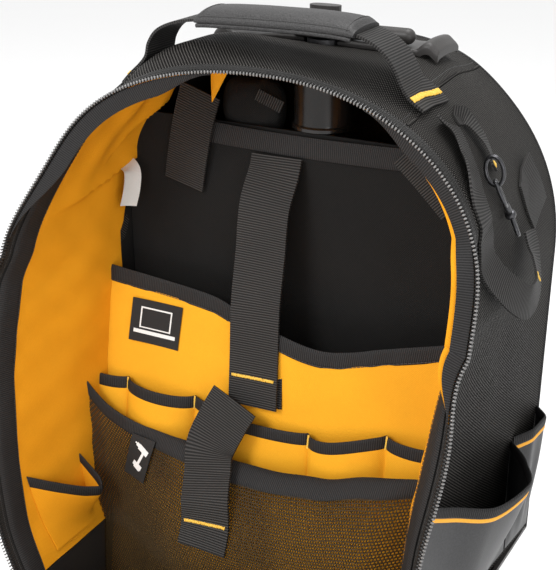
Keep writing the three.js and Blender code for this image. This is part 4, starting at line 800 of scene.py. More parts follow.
def zip_teeth(name, sections, mat):
    at = np.arange(6, rim_run[-1] - 4, TOOTH_PITCH)
    u = np.interp(at, rim_run, dense)
    n = wall_normal(u, 0 * u)
    inward = unit(wall(u, 0 * u + 0.01) - wall(u, 0 * u))
    v, f = scatter(stacked(sections), shell(u, 0 * u, TAPE / 2), unit(np.cross(n, inward)), n, inward)
    make(name, v, f, mat, v[:, :2], angle=50)


# The heads carry the painted highlight colour; the feet carry the teeth's own black.
zip_teeth("zip_teeth_heads_painted_highlight", TOOTH_HEAD, "teeth")
zip_teeth("zip_teeth_feet", TOOTH_FOOT, "tooth_feet")

# Stitching of the tape, on both sides of it, and the binding that covers the inner seam
sparse = dense[::4]
for width, depth, name in ((8.6, -0.05, "outer"), (6.6, TAPE + 0.05, "inner")):
    share = rim_share(sparse, width)
    n = wall_normal(sparse, share) * (1 if depth < 0 else -1)
    stitches(f"tape_stitches_{name}", shell(sparse, share, depth), n, 2.7, scale=0.8)

U, V = lines(0, 1, [width_at(BINDING_START), width_at(BINDING_END)], 420, [10])
t = np.linspace(-1, 1, V.shape[1])[None]
wave = 0.8 * np.sin(U * 95 + 1.3 * np.sin(U * 31)) * np.where(U < 0.45, 1, 0.45)
bulk = BINDING * (1 - 0.75 * np.abs(t) ** 5) + 0 * U
face = shell(U, V, LINING_OUT + bulk + 0.35 * wave * (1 - t ** 2))
v, f, uv = skin(face, shell(U, V, LINING_OUT))
make("rim_binding_cloth", v, f, "binding", uv[:, ::-1], replaces="rim_binding")
share = rim_share(sparse, BINDING_END - 3)
line = shell(sparse, share, LINING_OUT + BINDING)
stitches("binding_stitches", line, -wall_normal(sparse, share), 3.4)


def settled(o):
    """The object as its modifiers leave it."""
    bpy.context.view_layer.update()
    return o.evaluated_get(bpy.context.evaluated_depsgraph_get())


FILLING_PRESSURE, FILLING_FRAMES = 4.0, 20


def puff_up(o, voxel, cap, inward=0.2):
    """Fills a padded piece by a cloth simulation and keeps the result on its mesh.

    No point moves further than cap millimetres; what moves towards the bag moves by the share
    inward of that.
    """
    scene = bpy.context.scene
    work = add("filling", o.data.copy())
    remesh = work.modifiers.new("remesh", "REMESH")
    remesh.mode = "VOXEL"
    remesh.voxel_size = voxel * 0.001
    mesh = bpy.data.meshes.new_from_object(settled(work))
    work.modifiers.clear()
    work.data = mesh
    start = np.zeros(len(mesh.vertices) * 3)
    mesh.vertices.foreach_get("co", start)
    cloth = work.modifiers.new("cloth", "CLOTH")
    cloth.settings.quality = 4
    cloth.settings.use_pressure = True
    cloth.settings.uniform_pressure_force = FILLING_PRESSURE
    cloth.settings.effector_weights.gravity = 0
    cloth.point_cache.frame_start, cloth.point_cache.frame_end = 1, FILLING_FRAMES
    for frame_number in range(1, FILLING_FRAMES + 1):
        scene.frame_set(frame_number)
    seen = work.evaluated_get(bpy.context.evaluated_depsgraph_get())
    end = np.zeros_like(start)
    seen.data.vertices.foreach_get("co", end)
    move = (end - start).reshape(-1, 3)
    far = np.linalg.norm(move, axis=1, keepdims=True)
    move = move * np.minimum(1, cap * 0.001 / np.maximum(far, 1e-9))
    move[:, 1] = np.where(move[:, 1] < 0, move[:, 1] * inward, move[:, 1])
    mesh.vertices.foreach_set("co", (start.reshape(-1, 3) + move).ravel())
    flat = mesh.uv_layers.get("uv") or mesh.uv_layers.new(name="uv")
    corner = np.zeros(len(mesh.loops), int)
    mesh.loops.foreach_get("vertex_index", corner)
    flat.data.foreach_set("uv", start.reshape(-1, 3)[corner][:, [0, 2]].ravel())
    mesh.polygons.foreach_set("use_smooth", np.ones(len(mesh.polygons), bool))
    if not mesh.materials:
        mesh.materials.append(o.data.materials[0])
    work.modifiers.clear()
    o.data = mesh
    bpy.data.objects.remove(work)
    finer = o.modifiers.new("finer", "SUBSURF")
    finer.levels = finer.render_levels = 1
    scene.frame_set(1)


def bound_edge(name, point, top, columns, wide, half, replaces):
    """The binding along a piece's upper edge: point takes (s, z) and top takes s."""
    S, T = grid(columns, 8)
    P = point(S, top(S[:, 0])[:, None] - wide * (1 - T))
    plate(name, P[:, ::-1], half, "binding", 0.7, replaces=replaces)


def pocket_front(name, point, top, foot, size, under, half, mat, replaces):
    """A pocket's cloth from its foot up to where its binding starts to cover it."""
    S, T = grid(*size)
    tops = top(S[:, 0])[:, None]
    plate(name, point(S, foot + (tops - under - foot) * T), half, mat, replaces=replaces)


# Back panel and shoulder straps
def fan(outline, y0, y1, steps, crown):
    """A padded plate whose outline is in X and Z; it swells by crown towards its middle."""
    middle = outline.mean(0)
    s = np.linspace(0, 1, steps + 1)
    pts = middle + (outline[:, None] - middle) * (1 - 0.998 * s)[None, :, None]
    swell = crown * smooth(s * 2.2)
    near = np.stack([pts[..., 0], y0 + 0 * pts[..., 0], pts[..., 1]], -1)
    far = near.copy()
    far[..., 1] = y1 + swell[None] - 1.2 * (1 - smooth(s * 8))[None]
    return near, far


u = np.linspace(0, 1, 161)
edge = wall(u, 0 * u + 1)
outline = edge[:, [0, 2]]
outline[:, 1] = np.maximum(outline[:, 1], TRAY_HEIGHT + GAP)
base_x = np.linspace(outline[-1, 0], outline[0, 0], 41)[1:-1]
outline = np.concatenate([outline, np.stack([base_x, np.full(39, TRAY_HEIGHT + GAP)], 1), outline[:1]])
v, f, _ = skin(*fan(outline, BACK_Y + GAP, BACK_Y + GAP + 3.2, 10, 0.8))
pad = make("back_padding", v, f, "side_cloth", v[:, [0, 2]], replaces="back_panel")

BEHIND = BACK_Y + GAP + 4 + GAP
for side, word in ((-1, "left"), (1, "right")):
    y0 = BEHIND + 4.5
    rows = [(46, 0, 472), (52, 9, 440), (64, 17, 380), (78, 17, 310), (90, 11, 250), (97, 5, 205)]
    P = ribbon([(side * x, y0 + y, z) for x, y, z in rows], 62, lambda p, s: (0, 1, 0), 60, 14)
    t = np.linspace(-1, 1, P.shape[1])
    s = np.linspace(-1, 1, P.shape[0])
    puff = (1 - np.abs(t) ** 4)[None, :, None] * (1 - np.abs(s) ** 10)[:, None, None]
    bulk = normals(P) * (1.2 + 2.4 * puff)
    v, f, uv = skin(P + bulk, P - bulk)
    pad = make(f"shoulder_strap_{word}", v, f, "side_cloth", uv, replaces=f"shoulder_pad_{word}")
    puff_up(pad, 4.5, 5.0)
    y1 = BEHIND + 1
    low = [(side * 97.7, y0 + 3.6, 199), (side * 103, y0 + 2, 168), (side * 112, y1 + 3, 128),
           (side * 120, y1 + 0.3, 92)]
    strap(f"shoulder_webbing_{word}", low, 25, lambda p, s: (0, 1, 0), count=30,
          replaces=f"shoulder_web_{word}")


# Divider
def divider_y(z):
    return 60 - (300 - z) * 0.16


DIVIDER_ROWS = [(0, 304, 0), (.3, 297, 2), (.45, 284, 7), (.62, 275, 10), (.8, 288, 5), (1, 306, 0)]


def divider_point(s, z, off):
    y = divider_y(z) - soft_look(DIVIDER_ROWS, s, 2) * smooth((z - 150) / 130)
    return np.stack([crossing(s, divider_y(z), z, PANEL_DEPTH), y - off, z], -1)


def divider_top(s):
    return soft_look(DIVIDER_ROWS, s, 1)


S, T = grid(110, 60)
folds = (1.6 * np.exp(-((S - .30 - .10 * T) / .03) ** 2) * smooth((T - .55) / .3)
         - 1.3 * np.exp(-((S - .72 + .15 * T) / .05) ** 2) * smooth((T - .5) / .3)
         + 1.0 * np.sin(S * 23 + 4 * T) * smooth((T - .4) / .4) * 0.5)
Z = INNER_FOOT + (divider_top(S) - 12 - INNER_FOOT) * T
plate("divider_cloth", divider_point(S, Z, folds), 0.6, "divider", replaces="divider")


def divider_edge(s, z):
    wave = 0.5 * np.sin(s * 60 + 2 * np.sin(s * 17))
    return divider_point(s, z + wave * 0.5, wave * 0.8)


bound_edge("divider_edge", divider_edge, divider_top, 150, 14, 1.3, "divider_binding")
s = np.linspace(0, 1, 151)
line = divider_point(s, divider_top(s) - 12.2, 1.5)
stitches("divider_stitches", line, np.tile([0, -1.0, 0], (len(line), 1)), 3.2)

# Rear panel, its ribbed band and the padded lump beside the housing
S, T = grid(60, 60)
Z = INNER_FOOT + (REAR_TOP - INNER_FOOT) * T
bow = 1.2 * np.sin(S * 19 + T * 9) * smooth(T * 3)
P = np.stack([crossing(S, 86 + 0 * S, Z, PANEL_DEPTH + 0.3), 86 + 0.4 * bow, Z], -1)
plate("rear_cloth", P, 1.4, "inner_black", 0.3, replaces="rear_panel")
S, T = grid(80, 8)
Z = REAR_TOP - 17 - 3 * np.sin(np.pi * S) + 17 * T
P = inside(0.12 + 0.76 * S, np.full_like(S, 83.2), Z, PANEL_DEPTH + 3)
plate("rear_band_cloth", P[:, ::-1], 1.0, "binding", 0.6, slot="webbing", replaces="rear_band")

a, b = grid(40, 40)
th, ph = a * 2 * np.pi, (b - 0.5) * np.pi
px = np.sign(np.sin(ph)) * np.abs(np.sin(ph)) ** 0.7
pr = np.cos(ph) ** 0.55
lump = np.stack([-57 + 27 * px,
                 99.3 + 12.8 * pr * np.sign(np.cos(th)) * np.abs(np.cos(th)) ** .8,
                 449 + 23.5 * pr * np.sin(th) + 1.2 * np.sin(th * 3 + px * 4)], -1)
v = lump[:-1].reshape(-1, 3)
f = faced_out(v, quads(len(lump) - 1, lump.shape[1], True))
pad = make("rear_padding", v, f, "inner_black", v[:, [0, 2]], replaces="rear_pad")
puff_up(pad, 4.0, 1.0, 1.0)

# Tool pockets
COLUMNS = [(-200, 1.6), (-172, 9), (-152, 1.6), (-118, 13), (-84, 1.6), (-30, 10), (26, 1.6),
           (58, 13), (92, 1.6), (122, 12), (150, 1.6), (200, 1.6)]
POCKET_TOPS = [(-190, 211), (-84, 209), (-30, 204), (26, 204), (92, 219), (160, 221)]
POCKET_FOOT = 122.0


def pillow(x):
    """How far a pocket stands out at x: full and round between its tacks."""
    rows = COLUMNS
    out = np.full_like(x, 1.6)
    for k in range(0, len(rows) - 2, 2):
        x0, x1 = rows[k][0], rows[k + 2][0]
        t = (x - x0) / (x1 - x0)
        inside = (t >= 0) & (t <= 1)
        shape = np.sin(np.pi * np.clip(t, 0, 1)) ** 0.45
        out = np.where(inside, 1.6 + (rows[k + 1][1] - 1.6) * shape, out)
    return out


def tool_point(s, z):
    p = divider_point(s, z, 0 * z)
    fill = smooth((z - POCKET_FOOT) / 45)
    y = p[..., 1] - (1.6 + (pillow(p[..., 0]) - 1.6) * fill)
    return inside(s, y, z, PANEL_DEPTH + 0.4)


def tool_top(s):
    x = crossing(s, 40 + 0 * s, 210 + 0 * s, PANEL_DEPTH)
    return soft_look(POCKET_TOPS, x) - 2.2 * (pillow(x) - 1.6) / 11.4


pocket_front("tool_pocket_cloth", tool_point, tool_top, POCKET_FOOT, (200, 30), 9, 0.55, "divider",
             "tool_pockets")
bound_edge("tool_pocket_edge", tool_point, tool_top, 200, 11, 1.1, "tool_binding")
share = np.linspace(0, 1, 201)
mouth_x = tool_point(share, tool_top(share))[:, 0]
for k, x in enumerate((-152, -84, 26, 92)):
    s = np.interp(x, mouth_x, share)
    z = float(tool_top(np.array([s]))[0])
    c = tool_point(np.array([s]), np.array([z - 5.5]))[0]
    bartack(f"pocket_tack_{k}", c + [0, -1.4, 0], (0.1, 0, 1), (1, 0, 0), (0, -1, 0), 12, 1.7)

# Net pocket
NET_TOPS = [(-184, 212), (-174, 199), (-162, 189), (-145, 183), (-119, 178), (-89, 178), (-21, 172),
            (48, 179), (82, 190), (118, 199), (150, 204)]


def net_y(x, z, top):
    t = (z - INNER_FOOT) / (top - INNER_FOOT)
    left = smooth((x + 165) / 110)
    right = smooth((152 - x) / 60)
    belly = 36 * np.clip(np.sin(np.pi * np.minimum(1, t)), 0, 1) ** 0.8
    return 4 + (22 - 4) * t - (belly + 4) * left * right


def net_top(s):
    return soft_look(NET_TOPS, crossing(s, 22 + 0 * s, 180 + 0 * s, PANEL_DEPTH))


def net_point(s, z):
    y = net_y(crossing(s, 0 * s, z, PANEL_DEPTH), z, net_top(s))
    return inside(s, y, z, PANEL_DEPTH)


NET_COLUMNS, NET_ROWS, NET_DEEP = 146, 74, 0.5
S, T = grid(NET_COLUMNS * 2, NET_ROWS)
tops = net_top(S[:, 0])[:, None] - 11
net_grid = net_point(S, INNER_FOOT + (tops - INNER_FOOT) * T)
parts = []
for j in range(NET_ROWS):
    i = np.arange(j % 2, NET_COLUMNS * 2 - 1, 2)
    k = np.minimum(i + 2, NET_COLUMNS * 2)
    corners = np.stack([net_grid[i, j], net_grid[k, j], net_grid[k, j + 1], net_grid[i, j + 1]], 1)
    middle = corners.mean(1, keepdims=True)
    n = unit(np.cross(corners[:, 1] - corners[:, 0], corners[:, 3] - corners[:, 0]))[:, None]
    n = n * np.where(n[..., 1:2] > 0, -1, 1)
    rim = middle + (corners - middle) * 0.74 + n * 0.12
    hole = middle + (corners - middle) * 0.56 - n * NET_DEEP
    faces = []
    for q in range(4):
        m = (q + 1) % 4
        faces += [[q, m, 4 + m, 4 + q], [4 + q, 4 + m, 8 + m, 8 + q]]
    f = (np.array(faces)[None] + (np.arange(len(i)) * 12)[:, None, None]).reshape(-1, 4)
    parts.append((np.concatenate([corners, rim, hole], 1).reshape(-1, 3), f))
v, f = gather(parts)
make("net_cloth", v, f, "net", v[:, [0, 2]], replaces="mesh_pocket")


def net_mouth(s, z):
    return net_point(s, z) + np.stack([0 * s, 0.6 * np.sin(s * 41), 0 * s], -1)


bound_edge("net_edge", net_mouth, net_top, 150, 13, 1.2, "mesh_binding")

# Pocket on the left wall
WALL_POCKET = [(0, -54, 0, 149), (.35, -34, 12, 137), (.65, -16, 22, 128), (.85, -7, 27, 126),
               (.95, -3, 23, 131), (1, 1, 0, 147)]


def wall_pocket_point(a, z):
    top = soft_look(WALL_POCKET, a, 3)
    fill = smooth((z - WALL_POCKET_FOOT) / (top - WALL_POCKET_FOOT))
    y = soft_look(WALL_POCKET, a, 1)
    x = wall_x(-1, y, z, LINING_IN + 1.15) + soft_look(WALL_POCKET, a, 2) * fill
    return np.stack([x, y, z], -1)


wall_pocket_top = lambda a: soft_look(WALL_POCKET, a, 3)
pocket_front("wall_pocket_cloth", wall_pocket_point, wall_pocket_top, WALL_POCKET_FOOT, (60, 20), 8,
             0.5, "yellow", "wall_pocket")
bound_edge("wall_pocket_edge", wall_pocket_point, wall_pocket_top, 60, 10, 1.0, "wall_pocket_binding")

# Hold-down straps
to_front = lambda p, s: (0, -1, 0.25)
HOLD = [(-27, 80.8, 416), (-27, 76, 405), (-29, 64, 380), (-30, 58, 340), (-30, 50, 303),
        (-29, 46.2, 285), (-28, 43, 262), (-27, 39.5, 240), (-26, 35.6, 216)]
upper = strap("hold_strap_top", HOLD, 44, to_front, count=110, half=0.95,
              replaces="hold_strap_upper", cup=0.6)
run_of(HOLD)
tack("hold_tack_top", "hold_strap_top", 0.885, (0, -1, 0.3), 2.6, 3.0)
strap("hold_fold_top", [(-24, 49.4, 272), (-24, 44.6, 244), (-23, 40.2, 216.5)], 43, to_front,
      count=30, half=0.9)
HOLD_LOW = [(-37, 26, 223), (-45, 19, 205), (-52, 10, 183)]
for x, z in ((-49, 166), (-44, 148), (-41, 128), (-41, 109)):
    y = float(net_y(np.array(x), np.array(z), 174.0)) - (8.5 if z > 140 else 2.3)
    HOLD_LOW.append((x, y, z))
lower = strap("hold_strap_low", HOLD_LOW, 44, to_front, count=90, half=0.95,
              replaces="hold_strap_lower", cup=0.8)
run_of(HOLD_LOW)
tack("hold_tack_low", "hold_strap_low", 0.835, (0, -1, 0.3), 2.6, 3.0)


# Labels
def label(name, corner, width, height, replaces):
    """A woven label as a plate with a soft bend; gives a function from its face to space."""
    plate(name, corner(*grid(14, 12)), 0.35, "label", replaces=replaces)

    def to_space(a, b, lift=0.55):
        s, t = np.asarray(a, float) / width, np.asarray(b, float) / height
        p = corner(s, t)
        h = 0.01
        n = unit(np.cross(corner(s + h, t) - p, corner(s, t + h) - p))
        n = n * np.where(n[..., 1:2] > 0, -1, 1)
        return p + n * lift
    return to_space


def bars(name, to_space, rows):
    """White woven bars on a label: each row is (a0, b0, a1, b1, width) in its own millimetres."""
    parts = []
    for a0, b0, a1, b1, w in rows:
        d = np.array([a1 - a0, b1 - b0])
        d = d / np.hypot(*d)
        q = np.array([-d[1], d[0]]) * w / 2
        e = d * w / 2
        ends = [np.array([a0, b0]) - e - q, np.array([a1, b1]) + e - q,
                np.array([a1, b1]) + e + q, np.array([a0, b0]) - e + q]
        top = np.array([to_space(*c) for c in ends])
        low = np.array([to_space(*c, lift=0.3) for c in ends])
        v = np.concatenate([top, low])
        f = np.array([[0, 1, 2, 3], [7, 6, 5, 4], [0, 4, 5, 1], [1, 5, 6, 2], [2, 6, 7, 3], [3, 7, 4, 0]])
        parts.append((v, faced_out(v, f)))
    v, f = gather(parts)
    make(name, v, f, "print", v[:, [0, 2]])


def laptop_corner(s, t):
    z = 243 + 38 * t
    return np.stack([-155 + 50 * s + 3 * t, divider_y(z) - 3.2 + 0.8 * np.sin(3 * s), z], -1)


on_label = label("laptop_label", laptop_corner, 50, 38, "label_laptop")
bars("laptop_icon", on_label, [
    (10, 13.5, 10, 31, 1.3), (10, 31, 40, 31, 1.3), (40, 31, 40, 13.5, 1.3), (10, 13.5, 40, 13.5, 1.0),
    (5.6, 9.6, 44.4, 9.6, 3.2)])


def drill_corner(s, t):
    x = -140 + 26 * s + 6 * t
    z = 135 + 36 * t
    return np.stack([x, net_y(x, z, 178.0) - 2 - (1 - t), z], -1)


on_label = label("drill_label", drill_corner, 26, 36, "label_drill")
bars("drill_icon", on_label, [
    (13, 27, 20, 24.5, 4.6), (9.5, 28.6, 12, 27.6, 3.0), (6.6, 29.8, 9, 28.8, 1.2),
    (17.5, 24, 14.5, 14, 2.8), (10.5, 12.5, 17.5, 10.5, 3.8), (10.5, 9.8, 17, 7.9, 1.2)])

edge_x = float(wall_x(-1, np.array(74.0), np.array(392.0), LINING_IN + 3.8))
CARE = [(edge_x, 74, 394), (edge_x + 9, 70, 388), (edge_x + 10, 67, 374), (edge_x + 6, 66, 358)]
care = strap("care_label", CARE, 15, lambda p, s: (1, -0.6, 0), "white", 0.25, 30,
             replaces="label_care", cup=0.8)
run_of(CARE)
HANG = [(-95, 80, 461), (-101, 79, 440), (-108, 80, 412), (-115, 82.2, 380)]
strap("hump_patch", [(-47, 85.4, 462), (-25, 85.4, 454)], 9, to_front, count=12, half=0.6)
A, B, C = np.array([-74.0, 62, 482]), np.array([-59.0, 62, 483]), np.array([-78.6, 70, 455])
S, T = grid(12, 20)
S, T = S[..., None], T[..., None]
P = (A + (B - A) * S) * (1 - T * 0.97) + C * T * 0.97
P = P + np.array([0, -2.0, 0]) * np.sin(np.pi * S) * (1 - T)
plate("lining_tuck", P, 0.35, "yellow")
strap("rear_corner_web", [(82, 81.5, 436), (100, 81, 420), (122, 81.5, 398)], 30, to_front, count=24)
hang_web = strap("rear_hanging_web", HANG, 38, to_front, count=50, replaces="rear_webbing")
run_of(HANG)

# Outside pockets
OUT_POCKET = [(0, -50, 0, 224), (.2, -12, 14, 207), (.42, 18, 36, 198), (.62, 48, 46, 204),
              (.8, 82, 30, 201), (1, 126, 0, 190)]
BACK_POCKET = [(0, 129, 0, 192), (.3, 142, 12, 198), (.7, 160, 13, 200), (1, 176, 0, 200)]


def out_pocket_point(side, rows, a, z, lift=0.0):
    top = soft_look(rows, a, 3)
    fill = np.maximum(0, (z - OUT_POCKET_FOOT) / (top - OUT_POCKET_FOOT)) ** 0.75
    y = soft_look(rows, a, 1)
    stand = soft_look(rows, a, 2) * fill
    p = wall_at(side, y, z, -1.0)
    return np.stack([p[..., 0] + side * (stand + lift), y, z], -1)


for side, word in ((1, "right"), (-1, "left")):
    for rows, tail, n in ((OUT_POCKET, "", 90), (BACK_POCKET, "_rear", 40)):
        name = f"pocket_{word}{tail}"
        S, T = grid(n, 40)
        tops = soft_look(rows, S[:, 0], 3)[:, None]
        Z = OUT_POCKET_FOOT + (tops - 7 - OUT_POCKET_FOOT) * T
        sag = 1.2 * np.sin(S * 14 + T * 5) * np.sin(np.pi * T) * smooth(S * 6) * smooth(6 - S * 6)
        P = out_pocket_point(side, rows, S, Z, sag)
        plate(f"{name}_cloth", P, 0.8, "coated", replaces=name)
        point = lambda a, z: out_pocket_point(side, rows, a, z)
        top = lambda a: soft_look(rows, a, 3)
        bound_edge(f"{name}_edge", point, top, n, 9, 1.2, f"{name}_binding")
        S, T = grid(n, 8)
        P = out_pocket_point(side, rows, S, tops - 9 - 3.6 * (1 - T), 0.35)
        plate(f"{name}_stripe", P[:, ::-1], 1.0, "orange", 0.5)

# Carry handle
HANDLE_Y, HANDLE_FOOT = 46.0, 482.0
GRIP_SIDES, GRIP_HALF, GRIP_OVER, GRIP_UNDER = 48, 22.6, 8.6, 4.6
HANDLE_ROWS = [(-128, -26), (-117, -14), (-110, -4), (-107, 6), (-100, 15.5), (-86, 22.5),
               (-64, 26.5), (-32, 28), (0, 28.5), (32, 28.5), (60, 26.5), (76, 20.5), (86, 12),
               (92, 3), (96, -5), (103, -13), (110, -20)]
HANDLE = [[x, HANDLE_Y, RIM_HEIGHT + rise] for x, rise in HANDLE_ROWS]
for k in (0, 1, 15, 16):
    side = -1 if HANDLE[k][0] < 0 else 1
    HANDLE[k] = list(wall_at(side, HANDLE_Y, HANDLE[k][2], -1.55))


def facing_at(side, y, z):
    return unit(wall_at(side, y, z, 0.0) - wall_at(side, y, z, 2.0))


FEET = {side: facing_at(side, HANDLE_Y, HANDLE_FOOT) for side in (-1, 1)}


def handle_facing(p, s):
    share = smooth((abs(s - 0.5) - 0.36) / 0.07)
    top = unit(np.array([p[0] * 0.4, 0, max(20, p[2] - SPRING)]))
    return top + (FEET[-1 if s < 0.5 else 1] - top) * share


def feet_on_cloth(P):
    """Lays the two ends of the handle's webbing on the cloth."""
    out = P.copy()
    for side in (-1, 1):
        low = (P[..., 0] * side > 80) & (P[..., 2] < RIM_HEIGHT - 4)
        lifted = off_the_wall(P, side, 1.5)
        out = np.where(low[..., None], lifted, out)
    return out


strap("handle_web", HANDLE, 38, handle_facing, count=180, half=1.0,
      change=feet_on_cloth, replaces="handle_webbing")
tack("handle_tack_left", "handle_web", 0.035, (-1, 0, 1), 4.2, 1.5)
tack("handle_tack_right", "handle_web", 0.962, (1, 0, 1), 4.6, 1.0)


def capped(rings, ends):
    """Vertices and triangles of a tube through rings of points, closed by a fan at each end."""
    n, sides = rings.shape[:2]
    v = np.concatenate([rings.reshape(-1, 3), ends])
    f = quads(n, sides, False, True)[:, [0, 1, 2, 0, 2, 3]].reshape(-1, 3)
    q = np.arange(sides)
    nexts, last = (q + 1) % sides, (n - 1) * sides
    near = np.stack([np.full(sides, n * sides), q, nexts], 1)
    far = np.stack([np.full(sides, n * sides + 1), last + nexts, last + q], 1)
    return v, faced_out(v, np.concatenate([f, near, far]))


# The padded grip round the handle's webbing
line = spline(HANDLE, 400)[0]
grip_rows = np.where((line[:, 0] > -65) & (line[:, 0] < 61) & (line[:, 2] > 515))[0]
grip_line = line[grip_rows][::2]
along = unit(np.gradient(grip_line, axis=0))
across = unit(np.cross(along, np.stack([grip_line[:, 0] * .4, 0 * grip_line[:, 0],
                                        grip_line[:, 2] - SPRING], -1)))
up = unit(np.cross(across, along))
n = len(grip_line)
a = np.linspace(0, 2 * np.pi, GRIP_SIDES, endpoint=False)
s = np.linspace(0, 1, n)
puff = 1 - 0.14 * (np.abs(s - 0.5) * 2) ** 4
round_end = 1 - 0.35 * smooth((np.abs(s - 0.5) * 2 - 0.93) / 0.07)
w = np.sign(np.cos(a)) * np.abs(np.cos(a)) ** 0.8
upper = np.sin(a) > 0
h = np.where(upper, GRIP_OVER, -GRIP_UNDER) * np.abs(np.sin(a)) ** np.where(upper, 0.95, 0.6)
h = h[None] * (puff * round_end)[:, None]
w = GRIP_HALF * w[None] * (0.96 + 0.04 * puff)[:, None]
ring = grip_line[:, None] + across[:, None] * w[..., None] + up[:, None] * h[..., None]
v, f = capped(ring, grip_line[[0, -1]])
uv = np.concatenate([np.stack(np.meshgrid(s * 160, a * 9, indexing="ij"), -1).reshape(-1, 2),
                     [[0, 0], [0, 0]]])
grip = make("handle_padding", v, f, "leather", uv, replaces="handle_grip")
for word, q in (("front", -1), ("back", 1)):
    idx = int(np.argmin(np.abs(w[0] / GRIP_HALF - q * 0.94) + (h[0] < 0) * 9))
    pts = ring[3:-3, idx]
    nn = unit(pts - grip_line[3:-3])
    stitches(f"grip_stitches_{word}", pts, nn, 3.2, 0.25, 1.2)
    hem = grip_line[1:-1] + across[1:-1] * q * (GRIP_HALF - 1) - up[1:-1] * 3.4
    v, f = tube_mesh(hem, 1.5, 8)
    make(f"grip_piping_{word}", v, f, "leather", v[:, :2])
for word, k in (("left", 4), ("right", n - 5)):
    pts = ring[k, 2:23]
    stitches(f"grip_end_stitches_{word}", pts, unit(pts - grip_line[k]), 3.2, 0.25, 1.2)


# Gear strap, ring and hook
def off_wall(y, z, off):
    return wall_at(1, y, z, -off)


def wall_strap(name, rows, width, count, half, replaces, cup=0.0):
    """A strap on the right of the bag, from rows of (y, z, distance off the wall)."""
    strap(name, [off_wall(*row) for row in rows], width, lambda p, s: facing_at(1, p[1], p[2]),
          count=count, half=half, wall_side=1, replaces=replaces, cup=cup)


GEAR = [(41, 472, 1.6), (36, 464, 4), (26, 452, 3), (12, 436, 2.2), (8, 410, 2.2), (18, 384, 5),
        (34, 360, 13), (56, 346, 19), (78, 350, 18), (92, 366, 12), (96, 384, 8)]
wall_strap("gear_web", GEAR, 25, 140, 0.8, "gear_strap", cup=0.8)
tack("gear_tack", "gear_web", 0.86, (1, -0.5, 0.4), 2.0, 6.0)
RING_STRAP = [(57, 473, 1.6), (65, 470, 4.2), (67, 457, 5), (64, 448, 4.6), (58, 439, 4)]
wall_strap("ring_web", RING_STRAP, 13, 40, 0.8, "ring_strap")
tack("ring_tack", "ring_web", 0.95, (1, -0.5, 0.4), 3.2, 3.0)
PATCH = [(114, 424, 2.2), (126, 404, 2.6), (138, 384, 2.2)]
wall_strap("ribbed_patch_web", PATCH, 34, 30, 0.9, "ribbed_patch")


def loop(centre, along, across, long, wide):
    """Points round an oval, for a ring or a link."""
    a = np.linspace(0, 2 * np.pi, 48, endpoint=False)
    return centre + np.cos(a)[:, None] * along * long + np.sin(a)[:, None] * across * wide


ring_centre = off_wall(42, 442, 9)
hook_top, hook_foot = off_wall(38, 433, 9), off_wall(62, 402, 9)
hook_along = unit(hook_foot - hook_top)
outward = unit(np.array([1, 0, max(0, ring_centre[2] - SPRING) / 90]))
hook_across = unit(np.cross(hook_along, outward))
ring_along = unit(unit(np.array([0, -0.1, -1.0])) * np.sqrt(1.01) + outward * 0.35)
ring_across = unit(np.cross(np.cross(outward, ring_along), ring_along))
v, f = tube_mesh(loop(ring_centre, ring_along, ring_across, 10, 6.5), 1.5, 12, True)
make("oval_ring", v, f, "metal", v[:, :2], replaces="ring")
hook_centre = ring_centre + ring_along * 10 + hook_along * 9
parts = [tube_mesh(loop(hook_centre, hook_along, hook_across, 12.5, 6), 1.5, 12, True)]
rod_from, rod_to = hook_centre + hook_along * 11.5, hook_centre + hook_along * 22
swivel = rod_to + hook_along * 5
t = np.linspace(0, 1, 12)[:, None]
parts.append(tube_mesh(rod_from + (rod_to - rod_from) * t, 2.0 + 0.4 * np.sin(np.pi * t[:, 0]), 14))
parts.append(tube_mesh(rod_to + (swivel - rod_to) * t,
                       4.0 * np.sqrt(np.clip(1 - (2 * t[:, 0] - 1) ** 4, .2, 1)), 16))
parts.append(tube_mesh(loop(swivel + hook_along * 5.5, hook_along, hook_across, 6.5, 12), 1.5, 12, True))
v, f = gather(parts)
make("snap_hook_metal", v, f, "metal", v[:, :2], replaces="snap_hook")


# Pulling handle
def turned(name, rows, place, flat, sides, mat, **kw):
    """A form turned about an axle from (radius, height) rows that end where they start."""
    a = np.linspace(0, 2 * np.pi, sides, endpoint=False)
    r, h = (np.array(column, float)[:, None] for column in zip(*rows))
    v = np.stack(place(r * np.cos(a), r * np.sin(a), h + 0 * a), -1).reshape(-1, 3)
    f = faced_out(v, quads(len(rows), sides, True, True))
    make(name, v, f, mat, v[:, flat], **kw)


def pole_part(name, rows, mat, replaces, body="bag"):
    turned(name, rows, lambda c, s, h: (c, POLE_Y + s, h), [0, 2], 72, mat, replaces=replaces,
           body=body, angle=30)


pole_part("housing", [(15.7, 437), (24.4, 437), (25.3, 437.8), (25.3, 440.3), (24.4, 441.2),
                   (23.6, 441.6), (23.4, 442.6), (23.4, 497.2), (15.7, 497.2)], "gloss",
          "pole_housing")
pole_part("lower_tube", [(15.7, 4.4), (16.9, 4.4), (16.9, 435.6), (16.4, 436.5), (15.7, 436.5)],
          "gloss", "pole_outer")
pole_part("middle_tube", [(14.1, 30), (15.3, 30), (15.3, 433.6), (14.1, 433.6)], "alloy",
          "pole_mid", "mid_stage")
pole_part("upper_tube", [(12.5, 44), (13.7, 44), (13.7, 506.6), (12.5, 506.6)], "alloy",
          "pole_inner", "grip_stage")


